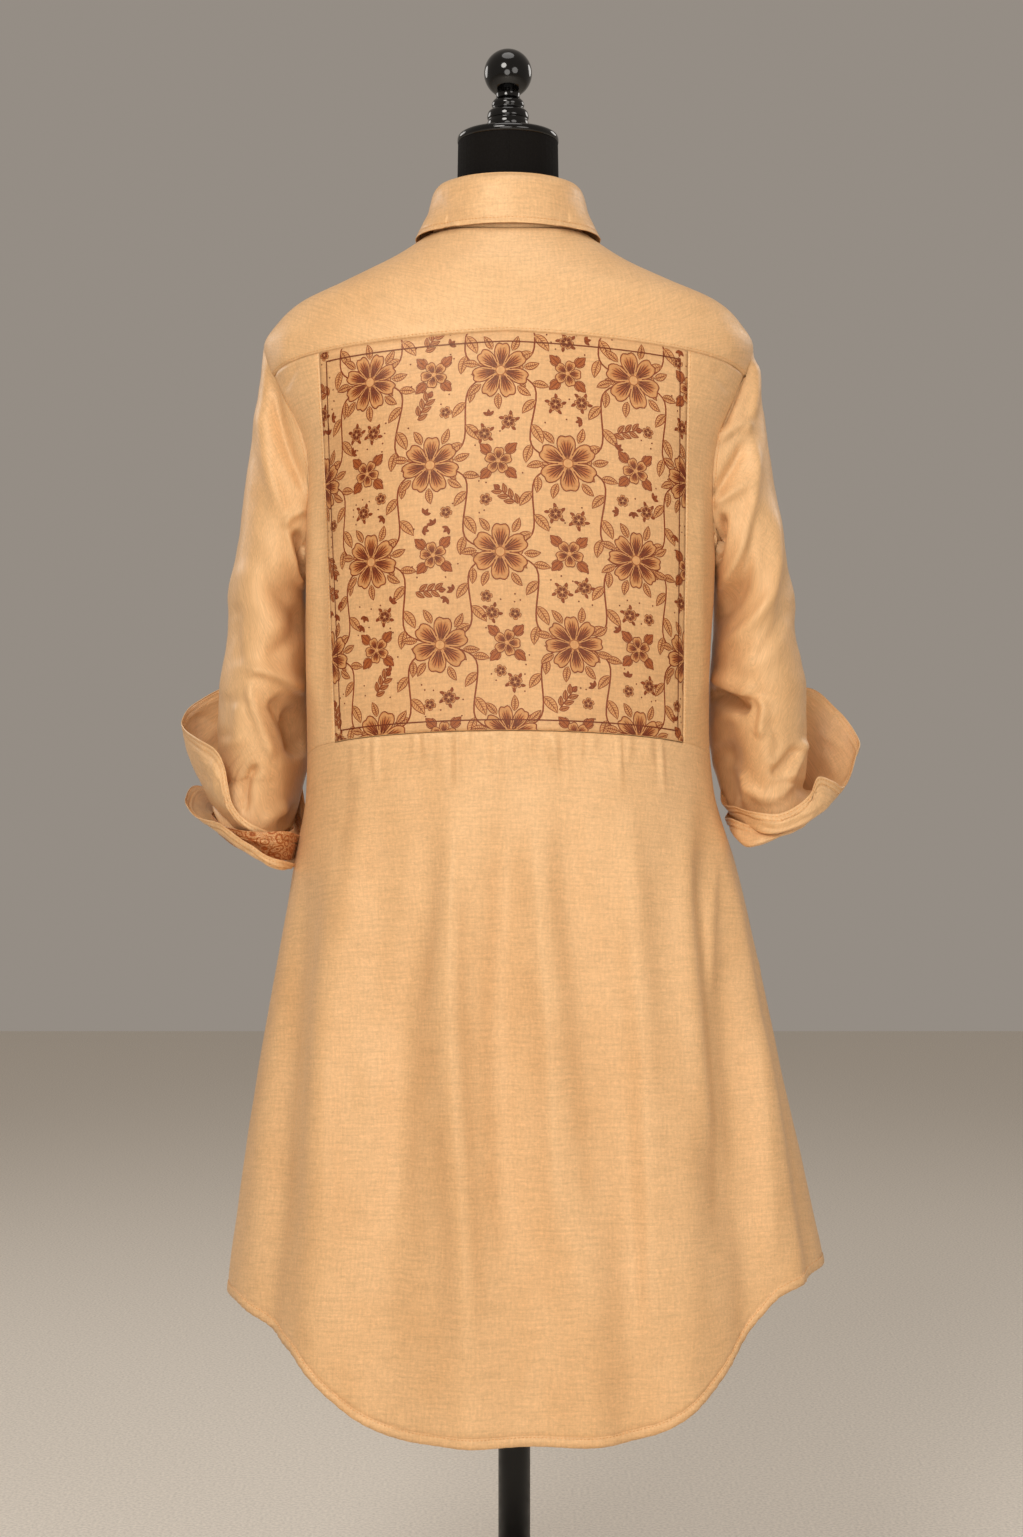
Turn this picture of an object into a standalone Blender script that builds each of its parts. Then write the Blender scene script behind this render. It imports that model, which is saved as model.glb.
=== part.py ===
"""A shirt dress on a limbless dress form.

Lengths are metres, +Z is up and the back of the dress faces -Y, so +X is the wearer's right.
The origin lies on the flat underside of the round base. The cloth is a stack of sections
round the form: an angle of 0 degrees is the centre back, +90 the right side, 180 the centre
front. Each piece of cloth is an open surface on those sections, thickened outwards.
"""

import math
from collections import namedtuple

import bmesh
import bpy
from mathutils import Vector

# ---------------------------------------------------------------- driving sizes

WALL = 0.0012  # thickness of the cloth
SEAM = 0.0003  # gap between two pieces that are sewn together
SEAM_ANGLE = 0.08  # half of that gap on an upright seam, in degrees round the body
SEAT = 0.0008  # gap between the yoke and the shoulders of the form

SHOULDER_END = 1.313  # height of the armhole's top
UNDERARM = 1.110  # height of the armhole's bottom
ARMHOLE_BACK = 21.0  # how far the armhole reaches to the back, in degrees round the body
ARMHOLE_FRONT = 24.0
ARMHOLE_STEPS = 12  # rows of the body between the armhole's bottom and its top
FRONT_SHARES = (1.0, 0.75, 0.48, 0.22, 0.0)  # rows between the armhole's top and the neck

NECK_BACK = 1.4124  # height of the neck seam
NECK_SIDE = 1.418
NECK_FRONT = 1.352
NECK_SIDE_ANGLE = 106.0

YOKE_BACK = 1.310  # height of the yoke seam at the centre back
YOKE_END_ROW = 3  # the row of the armhole, from its top, where the yoke seam ends

HEM_BACK = 0.3324  # height of the hem at the centre back, the front and the two sides
HEM_FRONT = 0.345
HEM_LEFT = 0.433
HEM_RIGHT = 0.459

PANEL_FOOT = 0.9537  # lower edge of the print panel at the centre back
PANEL_FOOT_DROP = 0.0097  # how much lower it is at its corners
PANEL_LEFT = (0.1705, 0.156)  # the panel's half widths at its top and at its foot
PANEL_RIGHT = (0.1615, 0.158)
GATHERS = 24  # small gathers along the panel's foot
GATHER_DEPTH = 0.0017
GATHER_LENGTH = 0.055
GATHER_REACH = 50.0  # how far from the centre back they reach, in degrees
GATHER_DROPS = (0.9 * SEAM, 0.009, 0.022)  # the gathered rows, below the panel's foot
LOW_LEVELS = (1.06, 1.0)  # the panel's rows between the armhole and its foot

PLACKET_WIDTH = 0.030
PLACKET_DROP = 0.002  # how far below the neckline it starts
BUTTON_RADIUS = 0.0058
BUTTON_HEIGHT = 0.0026
BUTTON_FIRST = 0.030  # how far the first button is below the neckline
BUTTON_PITCH = 0.098
BUTTONS = 9

COLLAR_TOP = 1.4625  # height of the collar's fold at the back
COLLAR_HALF_WIDTH = 0.0625
COLLAR_BACK = 0.0600
COLLAR_FRONT = 0.0640
COLLAR_FRONT_RISE = 0.034  # height of the collar stand at the centre front
COLLAR_END = 176.0  # angle where the fall's fold ends at the front
STAND_SIDE_INSET = 0.0030  # how much farther inside the neck hole the stand is at its sides
FALL_CLEAR = 0.0065  # least distance of the fall from what it lies on
FORM_HIP = 0.660  # height of the form's lower face
NECK_RADIUS = 0.0470
CAP_RADIUS = 0.0475
CAP_FOOT = 1.5080
CAP_HEIGHT = 0.0084
FINIAL_RADIUS = 0.0226
FINIAL_CENTRE = 1.5734
POLE_RADIUS = 0.0150
POLE_X = 0.0059
BASE_RADIUS = 0.170
BASE_HEIGHT = 0.024
FORM_FRONT_INSET = 0.004  # how much farther inside the dress the form's chest lies

PARTS = "shirt_dress_on_dress_form"

# ---------------------------------------------------------------- tables

Section = namedtuple("Section", "z left right back front square")
# Half widths to the left and right, half depths to the back and front, and how square it is.
BODY = (
    Section(1.4200, 0.0715, 0.0715, 0.0660, 0.050, 2.0),
    Section(1.4110, 0.0835, 0.0825, 0.0720, 0.058, 2.0),
    Section(1.3940, 0.1110, 0.1090, 0.0830, 0.070, 2.1),
    Section(1.3720, 0.1545, 0.1540, 0.0960, 0.082, 2.2),
    Section(1.3520, 0.1945, 0.1975, 0.1040, 0.091, 2.3),
    Section(1.3300, 0.2175, 0.2190, 0.1100, 0.099, 2.3),
    Section(1.3130, 0.2265, 0.2275, 0.1140, 0.105, 2.3),
    Section(1.2700, 0.2150, 0.2175, 0.1200, 0.118, 2.4),
    Section(1.2200, 0.1945, 0.1995, 0.1240, 0.130, 2.4),
    Section(1.1700, 0.1880, 0.1940, 0.1255, 0.137, 2.4),
    Section(1.1100, 0.1870, 0.1930, 0.1260, 0.138, 2.4),
    Section(1.0000, 0.1875, 0.1870, 0.1245, 0.134, 2.4),
    Section(0.9000, 0.1880, 0.1910, 0.1280, 0.134, 2.3),
    Section(0.8335, 0.1985, 0.2110, 0.1340, 0.137, 2.2),
    Section(0.7960, 0.2040, 0.2210, 0.1380, 0.140, 2.2),
    Section(0.7000, 0.2220, 0.2416, 0.1480, 0.148, 2.1),
    Section(0.6000, 0.2395, 0.2630, 0.1580, 0.157, 2.1),
    Section(0.5100, 0.2515, 0.2840, 0.1665, 0.165, 2.0),
    Section(0.4500, 0.2598, 0.2962, 0.1720, 0.170, 2.0),
    Section(0.3300, 0.2700, 0.3040, 0.1770, 0.175, 2.0),
)

HemRise = namedtuple("HemRise", "angle left right")
# How far the shirt-tail hem has risen from the centre to the side seam, on each side.
HEM_RISE = (
    HemRise(0, 0.0, 0.0),
    HemRise(15, 0.01, 0.0),
    HemRise(20, 0.02, 0.01),
    HemRise(25, 0.06, 0.055),
    HemRise(30, 0.16, 0.16),
    HemRise(35, 0.33, 0.285),
    HemRise(40, 0.52, 0.425),
    HemRise(45, 0.67, 0.575),
    HemRise(50, 0.74, 0.74),
    HemRise(55, 0.81, 0.895),
    HemRise(62, 0.91, 0.965),
    HemRise(72, 1.0, 1.0),
    HemRise(90, 1.0, 1.0),
)

Fold = namedtuple("Fold", "top_angle foot_angle width depth top full")
# The skirt's broad folds: the angle at the top and at the hem, the half width in degrees, the
# height of a ridge (or the depth of a trough, if negative) at the hem, the height where it
# starts and the height where it has its whole depth.
FOLDS = (
    Fold(-19, -7, 5.0, 0.0075, 0.93, 0.62),
    Fold(-27, -24, 7.0, -0.0090, 0.93, 0.55),
    Fold(-52, -40, 6.0, 0.0085, 0.86, 0.55),
    Fold(-66, -56, 6.0, -0.0090, 0.90, 0.60),
    Fold(-1, 4, 6.0, -0.0060, 0.93, 0.60),
    Fold(10, 14, 4.5, 0.0050, 0.93, 0.70),
    Fold(20, 22, 5.0, -0.0060, 0.93, 0.66),
    Fold(42, 30, 6.0, 0.0085, 0.93, 0.60),
    Fold(62, 47, 5.5, -0.0100, 0.95, 0.58),
    Fold(70, 60, 5.0, 0.0080, 0.92, 0.55),
    Fold(118, 112, 8.0, -0.0110, 0.98, 0.55),
    Fold(142, 137, 7.0, 0.0090, 0.95, 0.60),
    Fold(160, 158, 6.0, -0.0070, 0.90, 0.50),
    Fold(-122, -115, 8.0, -0.0100, 1.00, 0.55),
    Fold(-146, -140, 7.0, 0.0085, 0.95, 0.60),
    Fold(-163, -160, 6.0, -0.0070, 0.90, 0.50),
)

SleeveRing = namedtuple("SleeveRing", "z outer_left outer_right inner_left inner_right back front")
# Level sections of the sleeves: distances from the centre line, then the reach to back and front.
SLEEVE = (
    SleeveRing(1.085, 0.2615, 0.2680, 0.1935, 0.1985, -0.043, 0.100),
    SleeveRing(1.045, 0.2650, 0.2725, 0.1930, 0.1980, -0.045, 0.104),
    SleeveRing(1.000, 0.2720, 0.2815, 0.1925, 0.1975, -0.046, 0.108),
    SleeveRing(0.960, 0.2750, 0.2840, 0.1930, 0.1975, -0.044, 0.110),
    SleeveRing(0.925, 0.2740, 0.2835, 0.1950, 0.2000, -0.040, 0.111),
    SleeveRing(0.900, 0.2710, 0.2810, 0.2010, 0.2080, -0.035, 0.108),
)

Dent = namedtuple("Dent", "side z around height spread depth slant")
# Creases of the sleeves: side -1 is left and +1 right; around is the angle about the sleeve from
# its outer side over its back; a ridge has a positive depth; slant is a change of height a degree.
DENTS = (
    Dent(-1, 1.105, 110, 0.014, 40, 0.007, -0.0006),
    Dent(-1, 1.075, 125, 0.016, 36, -0.012, -0.0005),
    Dent(-1, 1.000, 100, 0.012, 40, 0.006, -0.0004),
    Dent(-1, 0.958, 150, 0.030, 32, -0.016, 0.0),
    Dent(1, 1.125, 110, 0.014, 40, 0.008, -0.0006),
    Dent(1, 1.080, 130, 0.016, 34, -0.012, -0.0005),
    Dent(1, 1.020, 110, 0.013, 44, 0.008, -0.0004),
    Dent(1, 0.985, 135, 0.014, 34, -0.014, 0.0),
    Dent(1, 0.925, 145, 0.026, 30, -0.014, 0.0),
    Dent(-1, 1.030, 270, 0.025, 50, -0.008, 0.0),
    Dent(1, 1.035, 270, 0.025, 50, -0.008, 0.0),
)

Loop = namedtuple("Loop", "outer inner near far outer_z inner_z near_z far_z")
# Tilted loops round a sleeve's end: distances to the outer, inner, near (back) and far (front)
# side, and the height of each. A cuff runs from its foot loop to its rim loop.
CUFFS = {
    "cuff_left": (
        Loop(0.2835, 0.2065, -0.037, 0.124, 0.890, 0.866, 0.852, 0.866),
        Loop(0.2955, 0.1980, -0.043, 0.134, 0.925, 0.884, 0.860, 0.930),
        Loop(0.3065, 0.1925, -0.048, 0.140, 0.966, 0.902, 0.872, 1.000),
    ),
    "cuff_left_facing": (
        Loop(0.2770, 0.2045, -0.0470, 0.129, 0.874, 0.841, 0.844, 0.850),
        Loop(0.2940, 0.2010, -0.0550, 0.144, 0.889, 0.855, 0.863, 0.872),
    ),
    "cuff_left_turn": (
        Loop(0.2700, 0.2085, -0.038, 0.120, 0.868, 0.826, 0.834, 0.840),
        Loop(0.2950, 0.2000, -0.057, 0.146, 0.880, 0.840, 0.842, 0.858),
        Loop(0.3010, 0.1970, -0.062, 0.151, 0.895, 0.852, 0.851, 0.878),
    ),
    "cuff_right": (
        Loop(0.3020, 0.2145, -0.037, 0.124, 0.896, 0.874, 0.864, 0.878),
        Loop(0.3200, 0.2045, -0.044, 0.134, 0.921, 0.888, 0.872, 0.934),
        Loop(0.3320, 0.1985, -0.049, 0.140, 0.950, 0.904, 0.881, 0.998),
    ),
    "cuff_right_turn": (
        Loop(0.2800, 0.2160, -0.040, 0.120, 0.866, 0.845, 0.852, 0.858),
        Loop(0.2920, 0.2125, -0.059, 0.140, 0.870, 0.861, 0.858, 0.868),
        Loop(0.2960, 0.2085, -0.066, 0.147, 0.875, 0.875, 0.870, 0.882),
    ),
}

FormRing = namedtuple("FormRing", "z width back front")
# The form below its shoulders, a general figure that stays clear of the cloth.
FORM = (
    FormRing(1.3050, 0.1900, 0.0980, 0.088),
    FormRing(1.2600, 0.1780, 0.1060, 0.098),
    FormRing(1.2000, 0.1680, 0.1080, 0.112),
    FormRing(1.1400, 0.1620, 0.1040, 0.120),
    FormRing(1.0800, 0.1480, 0.0960, 0.110),
    FormRing(1.0000, 0.1260, 0.0840, 0.096),
    FormRing(0.9300, 0.1280, 0.0860, 0.098),
    FormRing(0.8400, 0.1560, 0.1040, 0.108),
    FormRing(0.7600, 0.1700, 0.1160, 0.110),
    FormRing(0.7000, 0.1660, 0.1120, 0.106),
    FormRing(FORM_HIP, 0.1500, 0.0980, 0.094),
)

Fall = namedtuple("Fall", "out_back out_front drop_back drop_front end")
# The fall's rows from the top of the stand over its fold and down to its edge: how far out and
# down from the stand's top edge, at the back and at the front, and the angle where it ends.
FALL = (
    Fall(-0.0002, -0.0002, -0.0010, -0.0024, COLLAR_END),
    Fall(0.0030, 0.0040, -0.0005, -0.0022, COLLAR_END),
    Fall(0.0056, 0.0086, 0.0060, 0.0050, COLLAR_END),
    Fall(0.0120, 0.0230, 0.0230, 0.0240, 174.0),
    Fall(0.0195, 0.0370, 0.0385, 0.0400, 172.0),
    Fall(0.0235, 0.0460, 0.0468, 0.0550, 169.0),
)

NeckRing = namedtuple("NeckRing", "back_z front_z radius")
# The form's neck, from its cap down to its root.
NECK = (
    NeckRing(CAP_FOOT - SEAM, CAP_FOOT - SEAM, NECK_RADIUS),
    NeckRing(1.450, 1.440, NECK_RADIUS + 0.001),
    NeckRing(1.424, 1.372, NECK_RADIUS + 0.007),
)

Turn = namedtuple("Turn", "radius z")
# Profiles of turned pieces from the top down. The cap's rim is measured from its outer radius and
# its top, the finial's stem from the cap, and the base from the floor.
CAP_RIM = (
    Turn(-0.0090, -0.0003),
    Turn(-0.0025, -0.0016),
    Turn(-0.0006, -0.0030),
    Turn(0.0, -0.0048),
)
FINIAL_STEM = (
    Turn(0.0112, 0.0340),
    Turn(0.0140, 0.0302),
    Turn(0.0152, 0.0268),
    Turn(0.0148, 0.0240),
    Turn(0.0186, 0.0195),
    Turn(0.0195, 0.0150),
    Turn(0.0195, 0.0),
)
BALL_END = 150  # how far down its side the finial's ball is turned, in degrees
BASE_PROFILE = (
    Turn(0.024, BASE_HEIGHT),
    Turn(0.030, BASE_HEIGHT - 0.006),
    Turn(BASE_RADIUS - 0.020, 0.0125),
    Turn(BASE_RADIUS - 0.004, 0.0090),
    Turn(BASE_RADIUS, 0.0050),
    Turn(BASE_RADIUS, 0.0),
)

# ---------------------------------------------------------------- plain helpers


def mix(a, b, share):
    return a + (b - a) * share


def smooth(share):
    share = min(max(share, 0.0), 1.0)
    return share * share * (3 - 2 * share)


def column(rows, key, at, name):
    """The named column of a table at a value of its key, on a smooth curve through its rows."""
    keys = [getattr(row, key) for row in rows]
    values = [getattr(row, name) for row in rows]
    if keys[0] > keys[-1]:
        keys.reverse()
        values.reverse()
    if at <= keys[0]:
        return values[0]
    if at >= keys[-1]:
        return values[-1]
    last = len(keys) - 1
    low = max(i for i in range(last) if keys[i] <= at)
    span = keys[low + 1] - keys[low]

    def slope(i):
        before, after = max(i - 1, 0), min(i + 1, last)
        return (values[after] - values[before]) / (keys[after] - keys[before])

    t = (at - keys[low]) / span
    rise = values[low + 1] - values[low]
    start = values[low] + t * t * (3 - 2 * t) * rise
    turn = t * (1 - t) * ((1 - t) * slope(low) - t * slope(low + 1)) * span
    return start + turn


def spread(first, last, count):
    return [mix(first, last, i / (count - 1)) for i in range(count)]


def colour(red, green, blue):
    """A colour given as it looks on a screen, 0 to 255."""
    return [((c / 255 + 0.055) / 1.055) ** 2.4 for c in (red, green, blue)] + [1.0]


# ---------------------------------------------------------------- the body's sections


def section_point(z, angle, width, depth, square):
    """The point at an angle of one superelliptic section."""
    turn = math.radians(angle)
    aim = math.atan2(width * math.sin(turn), depth * math.cos(turn))
    across, along = abs(math.sin(aim)) / width, abs(math.cos(aim)) / depth
    reach = (across**square + along**square) ** (-1 / square)
    return Vector((reach * math.sin(aim), -reach * math.cos(aim), z))


def turned(angle):
    """The same angle between -180 and 180 degrees."""
    return (angle + 180) % 360 - 180


def fold_height(z, angle):
    """How far the skirt's folds move the cloth outwards."""
    total = 0.0
    for fold in FOLDS:
        fade = smooth((fold.top - z) / (fold.top - fold.full))
        centre = mix(fold.top_angle, fold.foot_angle, smooth((0.93 - z) / 0.55))
        away = turned(angle - centre) / fold.width
        total += fold.depth * fade * math.exp(-away * away)
    return total


def body_point(z, angle, out=0.0, folded=True):
    """A point of the inner face of the dress, moved outwards by out."""
    angle = turned(angle)
    width = column(BODY, "z", z, "right" if angle > 0 else "left")
    depth = column(BODY, "z", z, "back" if abs(angle) < 90 else "front")
    square = column(BODY, "z", z, "square")
    if folded:
        out += fold_height(z, angle)
    return section_point(z, angle, width + out, depth + out, square)


def angle_at(z, x):
    """The angle on the back at which the body has this x."""
    low, high = (0.0, 90.0) if x > 0 else (-90.0, 0.0)
    for _ in range(40):
        middle = (low + high) / 2
        if body_point(z, middle, folded=False).x < x:
            low = middle
        else:
            high = middle
    return (low + high) / 2


def armhole_height(step):
    """The height of a row of the armhole, from step 0 at its top to ARMHOLE_STEPS."""
    middle = (SHOULDER_END + UNDERARM) / 2
    return middle + (SHOULDER_END - middle) * math.cos(math.pi * step / ARMHOLE_STEPS)


def armhole_angle(step, reach):
    """How far the armhole's edge is from the side, in degrees, at a row."""
    return reach * max(math.sin(math.pi * step / ARMHOLE_STEPS), 0.0) ** 0.8


def yoke_seam(angle):
    end_angle = 90 - armhole_angle(YOKE_END_ROW, ARMHOLE_BACK)
    drop = YOKE_BACK - armhole_height(YOKE_END_ROW)
    return YOKE_BACK - drop * (min(abs(angle) / end_angle, 1.0)) ** 1.3


def neck_seam(angle):
    away = abs(turned(angle))
    if away < NECK_SIDE_ANGLE:
        return mix(NECK_BACK, NECK_SIDE, smooth(away / 60))
    share = (away - NECK_SIDE_ANGLE) / (180 - NECK_SIDE_ANGLE)
    return mix(NECK_SIDE, NECK_FRONT, math.sin(share * math.pi / 2) ** 1.2)


def panel_foot(angle):
    return PANEL_FOOT - PANEL_FOOT_DROP * (angle / 52) ** 2


def hem_height(angle):
    angle = turned(angle)
    side, name = (HEM_RIGHT, "right") if angle > 0 else (HEM_LEFT, "left")
    centre = HEM_BACK if abs(angle) < 90 else HEM_FRONT
    away = min(abs(angle), 180 - abs(angle))
    return mix(centre, side, column(HEM_RISE, "angle", away, name))


def panel_edge(side, z):
    """The angle of the print panel's left (-1) or right (+1) edge at a height."""
    top, foot = PANEL_RIGHT if side > 0 else PANEL_LEFT
    share = (YOKE_BACK - z) / (YOKE_BACK - PANEL_FOOT)
    return angle_at(z, side * mix(top, foot, min(max(share, 0.0), 1.0)))


# ---------------------------------------------------------------- making objects


def clear_scene():
    for old in list(bpy.data.objects):
        bpy.data.objects.remove(old, do_unlink=True)
    for old in list(bpy.data.collections):
        bpy.data.collections.remove(old)


def principled(name, base, roughness, metallic=0.0):
    material = bpy.data.materials.new(name)
    material.use_nodes = True
    shader = material.node_tree.nodes["Principled BSDF"]
    shader.inputs["Base Color"].default_value = base
    shader.inputs["Roughness"].default_value = roughness
    shader.inputs["Metallic"].default_value = metallic
    return material


def new_object(name, mesh, material, collection):
    made = bpy.data.objects.new(name, mesh)
    mesh.materials.append(material)
    collection.objects.link(made)
    return made


def strip_faces(mesh, row, other):
    """Faces between two rows of vertices, which may have unlike numbers of them."""
    if len(row) == len(other):
        for i in range(len(row) - 1):
            mesh.faces.new((row[i], row[i + 1], other[i + 1], other[i]))
        return
    i, j = 0, 0
    while i < len(row) - 1 or j < len(other) - 1:
        here = (i + 0.5) / (len(row) - 1)
        there = (j + 0.5) / (len(other) - 1)
        if j == len(other) - 1 or (i < len(row) - 1 and here <= there):
            mesh.faces.new((row[i], row[i + 1], other[j]))
            i += 1
        else:
            mesh.faces.new((row[i], other[j + 1], other[j]))
            j += 1


def cloth(name, patches, material, collection):
    """A piece of cloth: each patch is a list of rows of points, from its top row down."""
    mesh = bmesh.new()
    for rows in patches:
        made = [[mesh.verts.new(point) for point in row] for row in rows]
        for upper, lower in zip(made, made[1:]):
            strip_faces(mesh, lower, upper)
    bmesh.ops.remove_doubles(mesh, verts=mesh.verts, dist=0.00001)
    data = bpy.data.meshes.new(name)
    mesh.to_mesh(data)
    mesh.free()
    piece = new_object(name, data, material, collection)
    thicken = piece.modifiers.new("wall", "SOLIDIFY")
    thicken.thickness = WALL
    thicken.offset = 1.0
    data.shade_smooth()
    return piece


def turned_piece(name, profile, x, material, collection, steps=32):
    """A turned solid: a profile of (radius, z) from its top to its foot, round an upright axis."""
    mesh = bmesh.new()
    line = [mesh.verts.new((radius, 0, z)) for radius, z in profile]
    for upper, lower in zip(line, line[1:]):
        mesh.edges.new((upper, lower))
    data = bpy.data.meshes.new(name)
    mesh.to_mesh(data)
    mesh.free()
    piece = new_object(name, data, material, collection)
    piece.location.x = x
    screw = piece.modifiers.new("turn", "SCREW")
    screw.steps = steps
    screw.render_steps = steps
    screw.use_merge_vertices = True
    screw.merge_threshold = 0.00001
    screw.use_smooth_shade = True
    return piece


# ---------------------------------------------------------------- back of the dress


def yoke_rows():
    """The rows of the yoke from its seam up, as lists of (height, angle)."""
    ends = [
        (armhole_height(step), 90 - armhole_angle(step, ARMHOLE_BACK))
        for step in range(YOKE_END_ROW, -1, -1)
    ]
    for share in (0.22, 0.48, 0.75, 1.0):
        ends.append((mix(SHOULDER_END, NECK_SIDE, share), mix(90, NECK_SIDE_ANGLE, share)))
    start = ends[0][0]
    rows = []
    for height, end in ends:
        share = (height - start) / (NECK_SIDE - start)
        angles = spread(-end, end, 27)
        rows.append(
            [(mix(yoke_seam(a * ends[0][1] / end), neck_seam(a), share), a) for a in angles]
        )
    return rows


def make_yoke(material, collection):
    rows = [[body_point(z, a, folded=False) for z, a in row] for row in yoke_rows()]
    lift = Vector((0, 0, SEAM / 2))
    rows[0] = [point + lift for point in rows[0]]
    rows[-1] = [point - lift for point in rows[-1]]
    return cloth("back_yoke", [rows[::-1]], material, collection)


def back_levels():
    """The rows that the print panel and the strips beside it share: (height, outer edge)."""
    steps = range(YOKE_END_ROW, ARMHOLE_STEPS + 1)
    rows = [(armhole_height(i), 90 - armhole_angle(i, ARMHOLE_BACK)) for i in steps]
    return rows + [(level, 90.0) for level in (*LOW_LEVELS, PANEL_FOOT)]


def level_height(number, last, level, angle, gap):
    """The height of a row at an angle: the first follows the yoke seam, the last the foot."""
    if number == 0:
        return yoke_seam(angle) - SEAM / 2
    if number == last:
        return panel_foot(angle) + gap
    return level


def make_panel(material, collection):
    rows = []
    levels = back_levels()
    for number, (level, _) in enumerate(levels):
        left = panel_edge(-1, level) + SEAM_ANGLE
        right = panel_edge(1, level) - SEAM_ANGLE
        row = []
        for angle in spread(left, right, 13):
            z = level_height(number, len(levels) - 1, level, angle, SEAM / 2)
            row.append(body_point(z, angle, folded=False))
        rows.append(row)
    return cloth("print_panel", [rows], material, collection)


def side_strip(side):
    """The strip of the back beside the print panel, from the yoke seam to the panel's foot."""
    rows = []
    levels = back_levels()
    for number, (level, edge) in enumerate(levels):
        inner = abs(panel_edge(side, level)) + SEAM_ANGLE
        row = []
        for angle in spread(inner, edge - SEAM_ANGLE, 5):
            z = level_height(number, len(levels) - 1, level, angle, 0.0)
            row.append(body_point(z, side * angle))
        rows.append(row if side > 0 else row[::-1])
    return rows


def gather_wave(angle, drop):
    """The small gathers under the print panel, uneven in depth, at a drop below its edge."""
    if abs(angle) > GATHER_REACH:
        return 0.0
    place = (angle + GATHER_REACH) / (2 * GATHER_REACH) * GATHERS
    deep = 0.7 + 0.3 * math.sin(2.3 * place) + 0.2 * math.sin(0.9 * place + 1)
    fade = (0.35 + 2.6 * drop / GATHER_LENGTH) * (1 - smooth(drop / GATHER_LENGTH))
    return GATHER_DEPTH * deep * fade * (0.5 - 0.5 * math.cos(2 * math.pi * place))


def skirt_rows():
    """The rows of the back's skirt from the panel's foot down to the hem."""
    rows = []
    left = abs(panel_edge(-1, PANEL_FOOT)) + SEAM_ANGLE
    right = abs(panel_edge(1, PANEL_FOOT)) + SEAM_ANGLE
    last = 90 - SEAM_ANGLE
    for drop in GATHER_DROPS:
        row = []
        angles = spread(-last, -left, 5) + spread(-left, right, 4 * GATHERS + 1)[1:-1]
        for angle in angles + spread(right, last, 5):
            z = panel_foot(angle) - drop
            if drop < SEAM and (angle <= -left or angle >= right):
                z = panel_foot(angle)
            row.append(body_point(z, angle, gather_wave(angle, drop)))
        rows.append(row)
    rows.append([body_point(panel_foot(a) - GATHER_LENGTH, a) for a in spread(-last, last, 45)])
    for share in spread(0, 1, 11)[1:]:
        row = []
        for angle in spread(-last, last, 43):
            top = panel_foot(angle) - GATHER_LENGTH
            row.append(body_point(mix(top, hem_height(angle), share), angle))
        rows.append(row)
    return rows


def make_back(material, collection):
    patches = [side_strip(-1), side_strip(1), skirt_rows()]
    return cloth("back", patches, material, collection)


# ---------------------------------------------------------------- fronts


def front_rows(side, last_angle):
    """The rows of a front from its neckline and shoulder seam down to the hem."""
    rows = []
    for share in FRONT_SHARES:
        start = mix(90, NECK_SIDE_ANGLE, share) + 4 * SEAM_ANGLE
        row = []
        for angle in spread(start, last_angle, 12):
            z = mix(SHOULDER_END, neck_seam(angle), share)
            row.append(body_point(z, side * angle, folded=False))
        rows.append(row)
    for step in range(1, ARMHOLE_STEPS + 1):
        z = armhole_height(step)
        start = 90 + armhole_angle(step, ARMHOLE_FRONT) + SEAM_ANGLE
        rows.append([body_point(z, side * a) for a in spread(start, last_angle, 11)])
    for share in spread(0, 1, 13)[1:]:
        row = []
        for angle in spread(90 + SEAM_ANGLE, last_angle, 15):
            z = mix(UNDERARM, hem_height(side * angle), share)
            row.append(body_point(z, side * angle))
        rows.append(row)
    return rows if side > 0 else [row[::-1] for row in rows]


def make_fronts(material, collection):
    for name, side in (("front_left", -1), ("front_right", 1)):
        rows = front_rows(side, 180 - 2 * SEAM_ANGLE)
        cloth(name, [rows], material, collection)


def front_levels():
    """The heights of the fronts' rows at the centre front, from the neckline down."""
    levels = [mix(SHOULDER_END, NECK_FRONT, share) for share in FRONT_SHARES]
    levels[0] -= PLACKET_DROP
    levels += [armhole_height(step) for step in range(1, ARMHOLE_STEPS + 1)]
    return levels + [mix(UNDERARM, HEM_FRONT, share) for share in spread(0, 1, 13)[1:]]


def make_placket(material, collection):
    """The button band, which lies over the two fronts' edges."""
    rows = []
    for z in front_levels():
        reach = column(BODY, "z", z, "right")
        half = math.degrees(math.asin(PLACKET_WIDTH / 2 / reach))
        lift = WALL + SEAM
        rows.append([body_point(z, a, lift) for a in spread(180 - half, 180 + half, 4)])
    return cloth("placket", [rows], material, collection)


def make_buttons(material, collection):
    """The front's buttons, from below the neckline down."""
    for i in range(BUTTONS):
        z = NECK_FRONT - BUTTON_FIRST - i * BUTTON_PITCH
        here = body_point(z, 180.0)
        slope = body_point(z + 0.01, 180.0) - body_point(z - 0.01, 180.0)
        facing = Vector((0, slope.z, -slope.y)).normalized()
        mesh = bmesh.new()
        bmesh.ops.create_cone(
            mesh,
            cap_ends=True,
            segments=12,
            radius1=BUTTON_RADIUS,
            radius2=BUTTON_RADIUS * 0.86,
            depth=BUTTON_HEIGHT,
        )
        data = bpy.data.meshes.new(f"button_{i + 1}")
        mesh.to_mesh(data)
        mesh.free()
        button = new_object(f"button_{i + 1}", data, material, collection)
        out = 2 * WALL + 3 * SEAM + BUTTON_HEIGHT / 2
        button.rotation_euler = facing.to_track_quat("Z", "Y").to_euler()
        button.location = here + facing * out


# ---------------------------------------------------------------- sleeves and cuffs


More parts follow.
